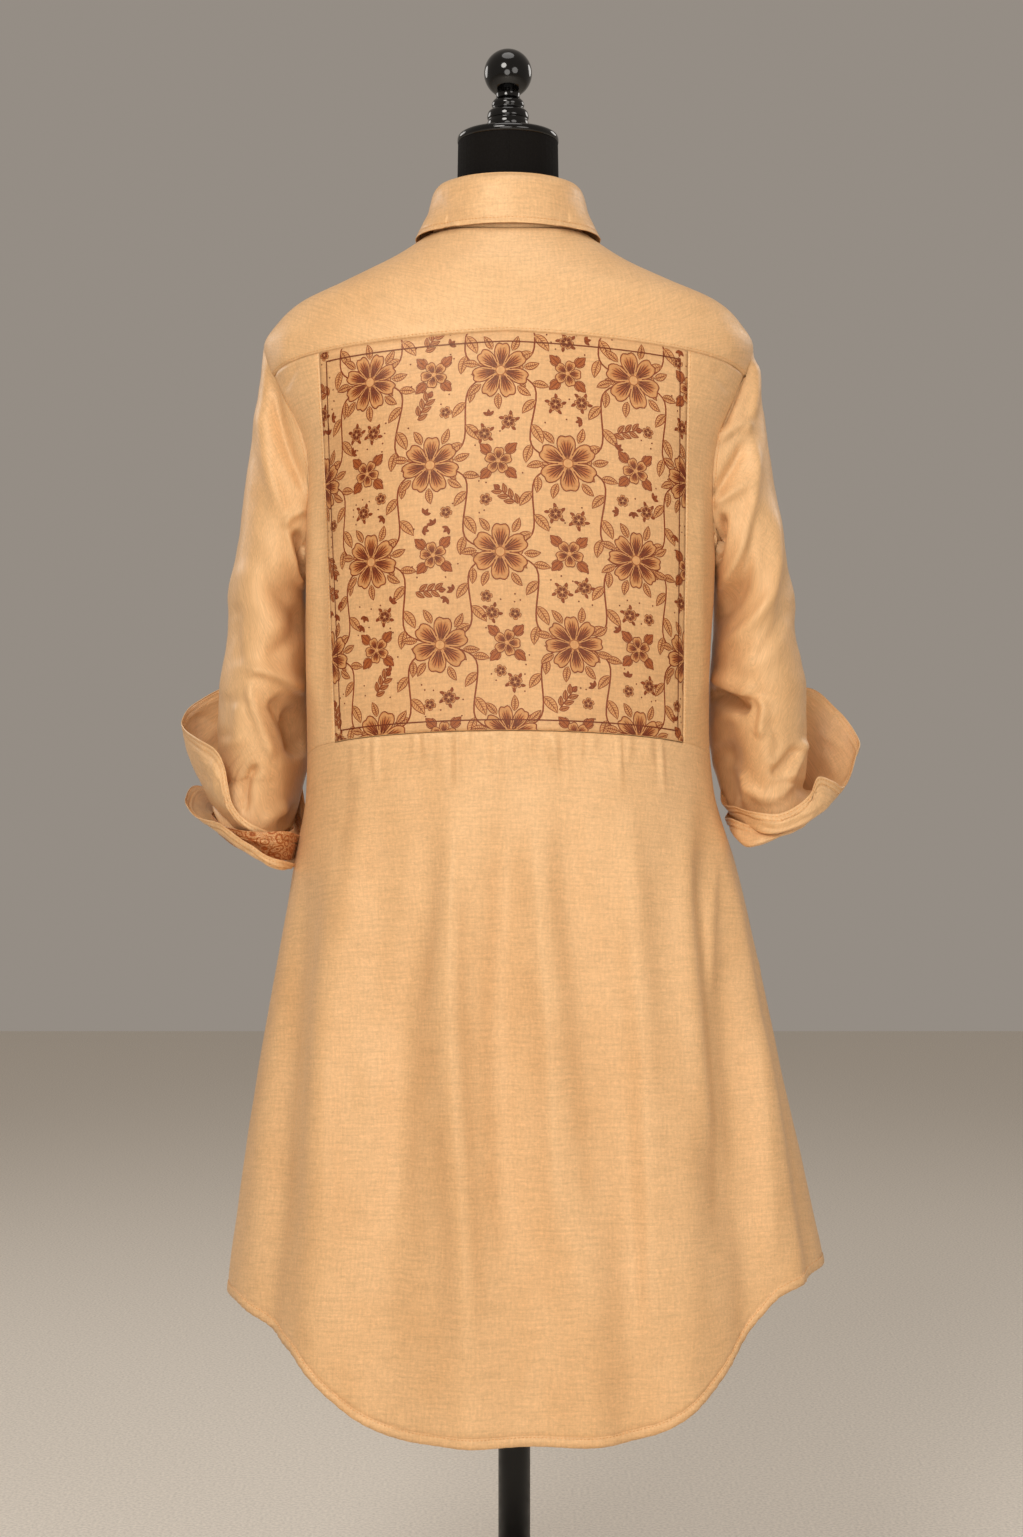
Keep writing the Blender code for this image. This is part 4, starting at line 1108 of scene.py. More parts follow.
def make_buttons():
    for i in range(BUTTONS):
        z = NECK_FRONT - BUTTON_FIRST - i * BUTTON_PITCH
        here, above, below = (
            Vector(body_points(np.array(h), np.array(180.0)).tolist())
            for h in (z, z + 0.01, z - 0.01)
        )
        slope = above - below
        facing = Vector((0, slope.z, -slope.y)).normalized()
        place = here + facing * (2 * WALL + 2.5 * SEAM)
        button = turned_piece(
            f"button_{i + 1}_face", BUTTON_PROFILE, 0.0, BUTTON, [f"button_{i + 1}"], 40
        )
        tilted(button, place, facing)
        # Each hole is a flat disc of painted shade, lifted just off the button's face.
        around = np.linspace(0, 2 * math.pi, HOLE_SIDES, endpoint=False)
        spots, faces = [], []
        for turn in HOLE_TURNS:
            across, up = HOLE_REACH * toward(turn)[:2]
            faces.append(tuple(range(len(spots), len(spots) + HOLE_SIDES)))
            for k in around:
                reach = HOLE_RADIUS * math.cos(k), HOLE_RADIUS * math.sin(k)
                spots.append((across + reach[0], up + reach[1], HOLE_LIFT))
        hole_shade_discs = plain_piece(f"button_{i + 1}_holes", spots, faces, PAINTED_HOLE_SHADE)
        tilted(hole_shade_discs, place, facing)
        for turn in HOLE_TURNS[:2]:
            line = np.outer((-HOLE_REACH, 0, HOLE_REACH), toward(turn))
            line[:, 2] = THREAD_LIFT
            up = np.array([(0.0, 0.0, 1.0)] * len(line))
            thread = stitched(f"button_{i + 1}_thread_{turn}", line, up)
            tilted(thread, place, facing)


# ---------------------------------------------------------------- the printed panel

PANEL_WIDTH = 0.350
PANEL_HEIGHT = 0.357
HALF_PANEL = PANEL_WIDTH / 2
PANEL_KNOTS = np.linspace(YOKE_BACK, PANEL_FOOT - 0.012, 40)
PANEL_EDGES = {side: panel_edge(side, PANEL_KNOTS) for side in (-1, 1)}


def panel_points(across, up, out=0.0):
    """Points of the panel's outer face: across from its middle and up from its top, in metres."""
    share = across / PANEL_WIDTH + 0.5
    down = -up / PANEL_HEIGHT
    z = YOKE_BACK + (PANEL_FOOT - YOKE_BACK) * down
    for _ in range(3):
        edges = [np.interp(z, PANEL_KNOTS[::-1], PANEL_EDGES[side][::-1]) for side in (-1, 1)]
        angle = mix(edges[0] + SEAM_ANGLE, edges[1] - SEAM_ANGLE, share)
        z = mix(yoke_seam(angle) - SEAM / 2, panel_foot(angle) + SEAM / 2, down)
    points = body_points(z, angle, WALL + out, folded=False)
    soft = uneven(points, "panel")
    edge = np.minimum(np.minimum(share, 1 - share), np.minimum(down, 1 - down))
    points[..., 1] -= soft * smooth(edge / 0.05) - 0.0004 * bump(edge / 0.006)
    return points


def make_panel(columns=100, rows=100):
    across = np.linspace(-HALF_PANEL, HALF_PANEL, columns)
    up = np.linspace(0, -PANEL_HEIGHT, rows)
    points = panel_points(*np.meshgrid(across, up))
    sewn("print_panel_cloth", points, ["print_panel"], "printed_cloth")


Ink = namedtuple("Ink", "spots tones lifts faces")
INK_LIFT = 0.00006  # how far the first drawn layer lies out from the cloth
LAYER_LIFT = 0.000035  # and each layer on it
LEAF_LINE = 0.0008
VEIN_LINE = 0.0006
STEM_LINE = 0.0015
PRINT_MARGIN = 0.0006
SMALLEST_FACE = 1e-9


def add_ink(ink, spots, tones, faces, layer):
    first = len(ink.spots)
    ink.spots.extend([float(x), float(y)] for x, y in spots)
    ink.tones.extend(float(tone) for tone in tones)
    ink.lifts.extend([INK_LIFT + LAYER_LIFT * layer] * len(spots))
    ink.faces.extend(tuple(first + i for i in face) for face in faces)


def ink_line(ink, path, width, tone, layer, thin=0.3):
    """A drawn line that thins towards both ends."""
    path = np.asarray(path, float)
    way = np.gradient(path, axis=0)
    way /= np.maximum(np.linalg.norm(way, axis=1, keepdims=True), 1e-9)
    side = np.stack([-way[:, 1], way[:, 0]], axis=1)
    share = np.linspace(0, 1, len(path))
    half = width / 2 * (thin + (1 - thin) * np.sin(np.pi * share).clip(0) ** 0.5)
    count = len(path)
    spots = np.concatenate([path + side * half[:, None], path - side * half[:, None]])
    faces = [(count + i, count + i + 1, i + 1, i) for i in range(count - 1)]
    add_ink(ink, spots, [tone] * len(spots), faces, layer)


def ink_shape(ink, centre, outline, rings, layer):
    """A filled shape whose tone changes from its centre outwards: rings of (share, tone)."""
    centre, outline = np.asarray(centre, float), np.asarray(outline, float)
    count = len(outline)
    spots, tones = [centre], [rings[0][1]]
    for share, tone in rings[1:]:
        spots.extend(centre + (outline - centre) * share)
        tones.extend([tone] * count)
    faces = [(0, 1 + i, 1 + (i + 1) % count) for i in range(count)]
    for ring in range(len(rings) - 2):
        a, b = 1 + ring * count, 1 + (ring + 1) * count
        faces += [(a + i, b + i, b + (i + 1) % count, a + (i + 1) % count) for i in range(count)]
    add_ink(ink, spots, tones, faces, layer)


def rounded(centre, reach, turn, angles):
    """Points at a reach from a centre, at angles turned by turn."""
    aim = np.asarray(angles) + turn
    way = np.stack([np.cos(aim), np.sin(aim)], -1)
    return np.asarray(centre) + np.asarray(reach)[..., None] * way


def ink_flower(ink, centre, size, petals, turn, layer):
    """An open flower: shaded petals with veins, a ring of stamens and a dotted heart."""
    half = math.pi / petals * 1.08
    angles = np.linspace(-half, half, 15)
    reach = size * np.cos(angles * math.pi / 2 / half * 0.97).clip(0) ** 0.38
    reach = reach * (1 - 0.10 * np.exp(-((angles / (0.22 * half)) ** 2)))
    for i in range(petals):
        aim = turn + 2 * math.pi * i / petals
        outline = rounded(centre, reach, aim, angles)
        outline = np.concatenate([[np.asarray(centre, float)], outline])
        middle = rounded(centre, np.array(0.5 * size), aim, 0.0)
        rings = [(0, 0.66), (0.45, 0.50), (0.8, 0.26), (1, 0.40)]
        ink_shape(ink, middle, outline, rings, layer)
        ink_line(ink, outline[1:], 0.0010 * (size / 0.026) ** 0.4, 0.88, layer + 2, 0.6)
        for vein in (-0.62, -0.38, -0.15, 0.15, 0.38, 0.62):
            long = 0.86 - 0.34 * abs(vein)
            reaches = np.linspace(0.16, long, 5) * size
            line = rounded(centre, reaches, aim, np.linspace(0.7, 1, 5) * vein * half)
            ink_line(ink, line, 0.0011 * (size / 0.026) ** 0.5, 0.95, layer + 1, 0.1)
    around = np.linspace(0, 2 * math.pi, 14, endpoint=False)
    heart = rounded(centre, np.full(14, 0.17 * size), 0.0, around)
    ink_shape(ink, centre, heart, [(0, 0.25), (0.8, 0.2), (1, 0.95)], layer + 3)
    for i in range(2 * petals):
        aim = turn + math.pi * (i + 0.5) / petals
        spot = rounded(centre, np.array(0.27 * size), aim, 0.0)
        ink_dot(ink, spot, 0.030 * size, 1.0, layer + 3)


def ink_dot(ink, centre, size, tone, layer):
    around = np.linspace(0, 2 * math.pi, 8, endpoint=False)
    outline = rounded(centre, np.full(8, size), 0.0, around)
    ink_shape(ink, centre, outline, [(0, tone), (1, tone)], layer)


def ink_leaf(ink, base, aim, length, width, bend, layer, dark=0.0):
    """A pointed leaf with an outline, a midrib and side veins."""
    base = np.asarray(base, float)
    share = np.linspace(0, 1, 9)
    turn = aim + bend * share
    ways = np.stack([np.cos(turn), np.sin(turn)], axis=1)
    spine = base + np.concatenate([[[0, 0]], np.cumsum(ways[:-1] * length / 8, axis=0)])
    side = np.stack([-ways[:, 1], ways[:, 0]], axis=1)
    half = width / 2 * np.sin(np.pi * share**0.85).clip(0) ** 0.9
    right, left = spine - side * half[:, None], spine + side * half[:, None]
    outline = np.concatenate([right, left[-2:0:-1]])
    rings = [(0, 0.30 + dark), (0.6, 0.24 + dark), (1, 0.34 + dark)]
    ink_shape(ink, spine[4], outline, rings, layer)
    for line, tone in ((right, 0.85), (left, 0.85), (spine, 0.9)):
        ink_line(ink, line, LEAF_LINE, tone, layer + 1)
    for i in (2, 3, 4, 5, 6):
        for edge in (right, left):
            bowed = mix(spine[i - 1], edge[i], 0.5) * 0.7 + spine[i] * 0.3
            vein = [spine[i - 1], bowed, mix(spine[i], edge[i], 0.85)]
            ink_line(ink, vein, VEIN_LINE, 0.75, layer + 1)


def ink_bud(ink, base, aim, size, layer):
    ink_leaf(ink, base, aim - 0.7, 0.75 * size, 0.28 * size, 0.6, layer)
    ink_leaf(ink, base, aim + 0.7, 0.75 * size, 0.28 * size, -0.6, layer)
    ink_leaf(ink, base, aim, size, 0.55 * size, 0.0, layer + 2, dark=0.35)


def ink_vine(ink, start, end, bow, layer):
    """An S-curved stem between two spots with leaves on both sides."""
    start, end = np.asarray(start, float), np.asarray(end, float)
    way = end - start
    side = np.array([-way[1], way[0]])
    knots = [start, mix(start, end, 0.3) + side * bow, mix(start, end, 0.7) - side * bow, end]
    path = through(np.array(knots), 25)
    ink_line(ink, path, STEM_LINE, 0.85, layer, 0.7)
    for i, at in enumerate((4, 7, 10, 13, 16, 19, 22)):
        ahead = path[min(at + 1, 24)] - path[at - 1]
        aim = math.atan2(ahead[1], ahead[0])
        turn = 0.85 if i % 2 else -0.85
        long = 0.0195 - 0.0022 * abs(i - 3)
        ink_leaf(ink, path[at], aim + turn, long, 0.44 * long, -0.5 * turn, layer)
    return path


ROW_PITCH = 0.081
COLUMN_PITCH = 0.118
FIRST_ROW = 0.036
FLOWER_SIZE = 0.0265
BLOSSOM_SIZE = 0.0125
BLOSSOM_REACH = 0.010
FRAME_INSET = 0.0095
FRAME_LINE = 0.0011


def flower_spots():
    """The big flowers' centres, in rows that are set half a pitch to the side in turn."""
    spots = []
    for row in range(-1, 6):
        columns = (-1, 0, 1) if row % 2 == 0 else (-1.5, -0.5, 0.5, 1.5)
        spots += [(column * COLUMN_PITCH, -(FIRST_ROW + row * ROW_PITCH)) for column in columns]
    return spots


def inside_panel(spot, margin=0.0):
    across = abs(spot[0]) < HALF_PANEL + margin
    return across and -PANEL_HEIGHT - margin < spot[1] < margin


# The radius of the small motifs between, in metres, and how many places are tried for each.
FILLING = ((0.0115, 500), (0.0085, 700), (0.0060, 900), (0.0042, 1300), (0.0024, 2600))


def ink_filler(ink, spot, size, aim):
    """A small motif: a spray of leaves, a little flower with leaves, a sprig or a dot."""
    if size > 0.0100:
        stem = rounded(spot, np.linspace(-0.9, 0.9, 7) * size, aim, 0.0)
        ink_line(ink, stem, 0.0012, 0.9, 3)
        for k in range(6):
            turn = 0.8 if k % 2 else -0.8
            ink_leaf(ink, stem[k], aim + turn, 0.85 * size, 0.36 * size, -0.4 * turn, 3, dark=0.1)
        ink_bud(ink, stem[-1], aim, 0.55 * size, 4)
    elif size > 0.0080:
        for turn in (0.0, 1.3, 2.6, 3.9, 5.2):
            base = rounded(spot, np.array(0.62 * size), aim + turn, 0.0)
            ink_leaf(ink, base, aim + turn + 0.2, 0.55 * size, 0.26 * size, 0.3, 3)
        ink_flower(ink, spot, 0.80 * size, 6, aim, 4)
    elif size > 0.0050:
        ink_flower(ink, spot, 0.95 * size, 5, aim, 4)
    elif size > 0.0030:
        for turn in (-0.9, 0.0, 0.9):
            ink_leaf(ink, spot, aim + turn, 1.4 * size, 0.55 * size, 0.2, 4, dark=0.25)
    else:
        ink_dot(ink, spot, 0.32 * size, 0.95, 4)


def draw_design(ink):
    """Rows of big flowers joined by leafy stems, with small blossoms, sprigs and dots between."""
    taken = []
    chance = random.Random(7)
    flowers = flower_spots()
    for x, y in flowers:
        for side in (-1, 1):
            end = (x + side * COLUMN_PITCH / 2, y - ROW_PITCH)
            if not (inside_panel((x, y), 0.03) or inside_panel(end, 0.03)):
                continue
            bow = side * (0.16 if side > 0 else 0.13)
            taken += [(px, py, 0.008) for px, py in ink_vine(ink, (x, y), end, bow, 0)]
    for i, (x, y) in enumerate(flowers):
        if not inside_panel((x, y), 0.03):
            continue
        petals = (6, 8, 7)[i % 3]
        for k in range(petals):
            aim = 0.3 * i + 2 * math.pi * (k + 0.5) / petals
            base = rounded((x, y), np.array(0.78 * FLOWER_SIZE), aim, 0.0)
            ink_leaf(ink, base, aim, 0.55 * FLOWER_SIZE, 0.24 * FLOWER_SIZE, 0.35, 3)
        ink_flower(ink, (x, y), FLOWER_SIZE, petals, 0.3 * i, 6)
        taken.append((x, y, 1.35 * FLOWER_SIZE))
        blossom = (x + COLUMN_PITCH / 2, y)
        if inside_panel(blossom, 0.01):
            for k in range(4):
                aim = 0.785 + k * math.pi / 2
                base = rounded(blossom, np.array(BLOSSOM_REACH), aim, 0.0)
                ink_bud(ink, base, aim, BLOSSOM_SIZE, 3)
            ink_flower(ink, blossom, BLOSSOM_SIZE, 5, 0.5 * i, 10)
            taken.append((*blossom, 0.019))
    for size, tries in FILLING:
        for _ in range(tries):
            spot = (chance.uniform(-HALF_PANEL, HALF_PANEL), chance.uniform(-PANEL_HEIGHT, 0.0))
            if any(math.hypot(spot[0] - x, spot[1] - y) < reach + size for x, y, reach in taken):
                continue
            taken.append((*spot, size))
            ink_filler(ink, spot, size, chance.uniform(0, 2 * math.pi))
    across, low = HALF_PANEL - FRAME_INSET, FRAME_INSET - PANEL_HEIGHT
    corners = [(-across, -FRAME_INSET), (across, -FRAME_INSET), (across, low), (-across, low)]
    for start, end in zip(corners, corners[1:] + corners[:1]):
        ink_line(ink, np.linspace(start, end, 60), FRAME_LINE, 0.95, 14, 1.0)


def make_print():
    ink = Ink([], [], [], [])
    draw_design(ink)
    spots = np.array(ink.spots)
    across = HALF_PANEL - PRINT_MARGIN
    spots[:, 0] = spots[:, 0].clip(-across, across)
    spots[:, 1] = spots[:, 1].clip(PRINT_MARGIN - PANEL_HEIGHT, -PRINT_MARGIN)
    points = panel_points(spots[:, 0], spots[:, 1], np.array(ink.lifts))
    shown = []
    for face in ink.faces:
        x, y = spots[list(face)].T
        if abs(np.dot(x, np.roll(y, 1)) - np.dot(y, np.roll(x, 1))) > SMALLEST_FACE:
            shown.append(face)
    mesh = bpy.data.meshes.new("panel_block_print")
    mesh.from_pydata(points.tolist(), [], shown)
    layer = mesh.uv_layers.new(name="cloth")
    index = np.empty(len(mesh.loops), np.int32)
    mesh.loops.foreach_get("vertex_index", index)
    layer.data.foreach_set("uv", spots[index].astype(np.float32).ravel())
    tones = mesh.attributes.new("ink", "FLOAT", "POINT")
    tones.data.foreach_set("value", np.array(ink.tones, np.float32))
    piece = new_object("panel_block_print", mesh, INK)
    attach(piece, BODY_NAME)


# ---------------------------------------------------------------- sleeves


def armhole_loop(side, around):
    """The armhole's edge on the body, from its top over its back and round."""
    step = ARMHOLE_STEPS * np.where(around <= 180, around, 360 - around) / 180
    reach = np.where(around <= 180, -ARMHOLE_BACK, ARMHOLE_FRONT)
    angle = 90 + np.sign(reach) * armhole_angle(step, np.abs(reach))
    points = body_points(armhole_height(step), side * angle, folded=False)
    low = smooth(step / ARMHOLE_STEPS)
    points[:, 0] += side * mix(WALL + 0.0002, 2 * WALL + 2 * SEAM, low)
    return points


def sleeve_ring(side, ring, around):
    outer = ring.outer_left if side < 0 else ring.outer_right
    inner = ring.inner_left if side < 0 else ring.inner_right
    turn = np.radians(around)
    x = (outer + inner) / 2 + (outer - inner) / 2 * np.cos(turn)
    y = (ring.back + ring.front) / 2 - (ring.front - ring.back) / 2 * np.sin(turn)
    return np.stack([side * x, y, ring.z + 0 * turn], axis=-1)


SleeveEnd = namedtuple("SleeveEnd", "outer inner near far outer_z inner_z near_z far_z")
SLEEVE_END = {
    -1: SleeveEnd(0.2817, 0.2083, -0.0352, 0.1222, 0.890, 0.866, 0.852, 0.866),
    1: SleeveEnd(0.3002, 0.2163, -0.0352, 0.1222, 0.896, 0.874, 0.864, 0.878),
}


def sleeve_end(side, around):
    end = SLEEVE_END[side]
    turn = np.radians(around)
    level = (end.outer_z + end.inner_z + end.near_z + end.far_z) / 4
    sway = (end.outer_z + end.inner_z - end.near_z - end.far_z) / 4
    x = (end.outer + end.inner) / 2 + (end.outer - end.inner) / 2 * np.cos(turn)
    y = (end.near + end.far) / 2 - (end.far - end.near) / 2 * np.sin(turn)
    z = level + (end.outer_z - end.inner_z) / 2 * np.cos(turn)
    z = z + (end.near_z - end.far_z) / 2 * np.sin(turn) + sway * np.cos(2 * turn)
    return np.stack([side * x, y, z], axis=-1)


# A broad crease of a sleeve, at a height and an angle round it from its outer side: its own
# height up the sleeve, its spread round it in degrees, its depth and its slant for each degree.
Dent = namedtuple("Dent", "side z around height spread depth slant")
DENTS = table(
    Dent,
    (-1, 1.105, 110, 0.014, 40, 0.004, -0.0006),
    (-1, 1.075, 125, 0.016, 36, -0.009, -0.0005),
    (-1, 0.958, 150, 0.030, 32, -0.013, 0.0),
    (1, 1.125, 110, 0.014, 40, 0.004, -0.0006),
    (1, 1.080, 130, 0.016, 34, -0.009, -0.0005),
    (1, 1.020, 110, 0.013, 44, 0.004, -0.0004),
    (1, 0.985, 135, 0.014, 34, -0.011, 0.0),
    (1, 0.925, 145, 0.026, 30, -0.012, 0.0),
    (-1, 1.030, 270, 0.025, 50, -0.008, 0.0),
    (1, 1.035, 270, 0.025, 50, -0.008, 0.0),
    (-1, 0.985, 240, 0.016, 50, 0.005, 0.0004),
    (1, 0.975, 245, 0.016, 50, 0.005, 0.0004),
    (-1, 1.090, 15, 0.020, 40, 0.003, 0.0003),
    (1, 1.080, 10, 0.020, 40, 0.003, 0.0003),
    (-1, 0.960, 192, 0.085, 34, 0.0025, 0.0),
    (1, 0.960, 192, 0.085, 34, 0.0052, 0.0),
    (-1, 0.945, 300, 0.014, 40, -0.006, 0.0004),
    (1, 0.940, 300, 0.014, 40, -0.006, 0.0004),
)

SLEEVE_CREASES = table(
    Crease,
    (-5.5, 12, 7, ((268, 362), (272, 400), (284, 445), (300, 480), (309, 497))),
    (3.5, 10, 11, ((262, 395), (267, 455), (279, 500), (288, 524))),
    (3.5, 5, 6, ((284, 530), (288, 519), (296, 513), (308, 508))),
    (3.0, 7, 5, ((286, 524), (289, 545), (296, 568), (305, 592))),
    (-8.0, 7, 7, ((294, 528), (301, 545), (306, 582))),
    (2.5, 20, 22, ((252, 555), (262, 600), (282, 645))),
    (-2.5, 12, 12, ((300, 600), (290, 640), (262, 660))),
    (5.0, 13, 5, ((246, 678), (256, 671), (280, 679), (308, 695))),
    (-8.5, 13, 12, ((272, 694), (288, 720), (302, 758))),
    (3.8, 9, 6, ((248, 678), (252, 700), (261, 730), (274, 764))),
    (-0.9, 1.5, 1.5, ((240, 753), (232, 762), (226, 773))),
    (-0.9, 1.5, 1.5, ((261, 751), (246, 759), (237, 770), (233, 784), (233, 797))),
    (-0.7, 1.3, 1.3, ((263, 756), (249, 763), (241, 773), (237, 785))),
    (-5.5, 7, 6, ((260, 762), (248, 776), (243, 794), (247, 814))),
    (3.5, 4, 4, ((233, 780), (232, 795), (236, 806), (246, 813))),
    (3.0, 10, 4, ((258, 824), (277, 816), (292, 803))),
    (-4.0, 8, 8, ((276, 829), (290, 819), (299, 800))),
    (2.0, 14, 14, ((242, 700), (236, 730), (242, 750))),
    (-1.8, 10, 10, ((228, 690), (228, 720), (227, 745))),
    (-1.6, 7, 7, ((238, 600), (236, 640), (240, 670))),
    (-4.0, 5, 6, ((746, 354), (741, 385), (730, 410), (719, 433))),
    (3.0, 7, 6, ((754, 356), (755, 385), (750, 423))),
    (4.0, 8, 5, ((716, 442), (730, 430), (742, 425), (755, 431))),
    (4.2, 8, 8, ((753, 430), (755, 460), (752, 500), (745, 540), (728, 575), (711, 604))),
    (-5.5, 8, 8, ((748, 438), (736, 462), (722, 484), (712, 500))),
    (3.5, 7, 7, ((711, 508), (724, 497), (742, 486), (752, 474))),
    (-8.5, 6, 6, ((723, 510), (719, 535), (713, 568))),
    (-3.2, 9, 9, ((755, 500), (749, 550), (738, 590), (714, 628))),
    (3.8, 9, 9, ((771, 490), (776, 560), (768, 600), (742, 632), (709, 658))),
    (-2.6, 10, 10, ((787, 560), (784, 610), (770, 640), (745, 668))),
    (5.0, 13, 4, ((702, 674), (720, 681), (740, 689), (759, 698))),
    (3.4, 7, 5, ((755, 693), (763, 706), (761, 722), (759, 740))),
    (-8.0, 5, 9, ((705, 688), (727, 698), (752, 709))),
    (-3.2, 15, 15, ((720, 716), (728, 745), (730, 770))),
    (-5.0, 12, 12, ((718, 740), (726, 775), (737, 812))),
    (3.2, 7, 7, ((742, 768), (747, 790), (744, 808))),
    (-0.9, 1.5, 1.5, ((773, 734), (780, 742), (779, 755))),
    (-5.0, 7, 8, ((800, 745), (792, 758), (780, 770), (768, 774))),
    (3.0, 7, 6, ((744, 778), (760, 797), (779, 795), (796, 776))),
    (3.4, 6, 6, ((806, 736), (800, 755), (793, 770), (790, 784))),
    (-2.0, 9, 9, ((770, 715), (778, 740), (774, 765))),
)


SLEEVE_STRENGTH = 1.55
SLEEVE_SPREAD = 0.75
SLEEVE_STITCH = 0.0062
ARMHOLE_DIP = 0.0006
DENTS_START = 10  # the rows below the armhole over which the dents come in
STITCHES_END = UNDERARM + 0.045  # the stitches stop above the underarm's pocket
SLEEVE_LAP = 0.0022  # how far the sleeve's head laps over the body at the armhole


def sleeve_base(side, around):
    armhole = armhole_loop(side, around)
    level = sleeve_ring(side, SLEEVE[0], around)
    lapped = armhole - np.array([side * SLEEVE_LAP, 0, 0])
    loops = [lapped, armhole] + [mix(armhole, level, share) for share in (0.14, 0.32, 0.54, 0.78)]
    rings = [SLEEVE[0]]
    for upper, lower in zip(SLEEVE, SLEEVE[1:]):
        halfway = SleeveRing(*((a + b) / 2 for a, b in zip(upper, lower)))
        rings += [halfway, lower]
    loops += [sleeve_ring(side, ring, around) for ring in rings]
    return np.array(loops + [sleeve_end(side, around)])


def dented(side, points, around):
    """The sleeve with its broad creases pressed in or raised, level by level."""
    out = np.zeros(points.shape[:2])
    for dent in DENTS:
        if dent.side == side:
            away = turned(around - dent.around)
            centre = dent.z + dent.slant * away
            rise = (points[..., 2] - centre) / dent.height
            out += dent.depth * bump(rise) * bump(away / dent.spread)
    aim = (points - points.mean(axis=1, keepdims=True)) * np.array([1, 1, 0])
    reach = np.maximum(np.linalg.norm(aim, axis=-1, keepdims=True), 0.001)
    start = smooth(np.arange(len(points)) / DENTS_START)[:, None, None]
    return points + aim / reach * out[..., None] * start


def make_sleeves(columns=132, rows=160):
    around = np.linspace(0, 360, columns, endpoint=False)
    for word, side in SIDES:
        name = "sleeve_" + word
        points = dented(side, through(sleeve_base(side, around), rows), around)
        if side > 0:
            points = points[:, ::-1]
        points = moved_out(points, np.full(points.shape[:2], WALL), True)
        down = (np.arange(rows) / (rows - 1))[:, None]
        held = smooth(down / 0.05) * smooth((1 - down) / 0.03)
        seam = ARMHOLE_DIP * bump((down - 0.012) / 0.004)
        points = moved_out(points, uneven(points, "sleeve", side) * held - seam, True)
        points = creased(
            points, SLEEVE_CREASES, True, strength=SLEEVE_STRENGTH, spread=SLEEVE_SPREAD
        )
        line, up = along_edge(points, SLEEVE_STITCH, "top", True)
        half = columns // 2
        for part, run in (("first", slice(0, half)), ("last", slice(half, columns))):
            kept = line[run, 2] > STITCHES_END
            stitched(f"{name}_stitches_{part}", line[run][kept], up[run][kept])
        sewn(name + "_cloth", points, [name], "tan_cloth", closed=True)


# ---------------------------------------------------------------- cuffs

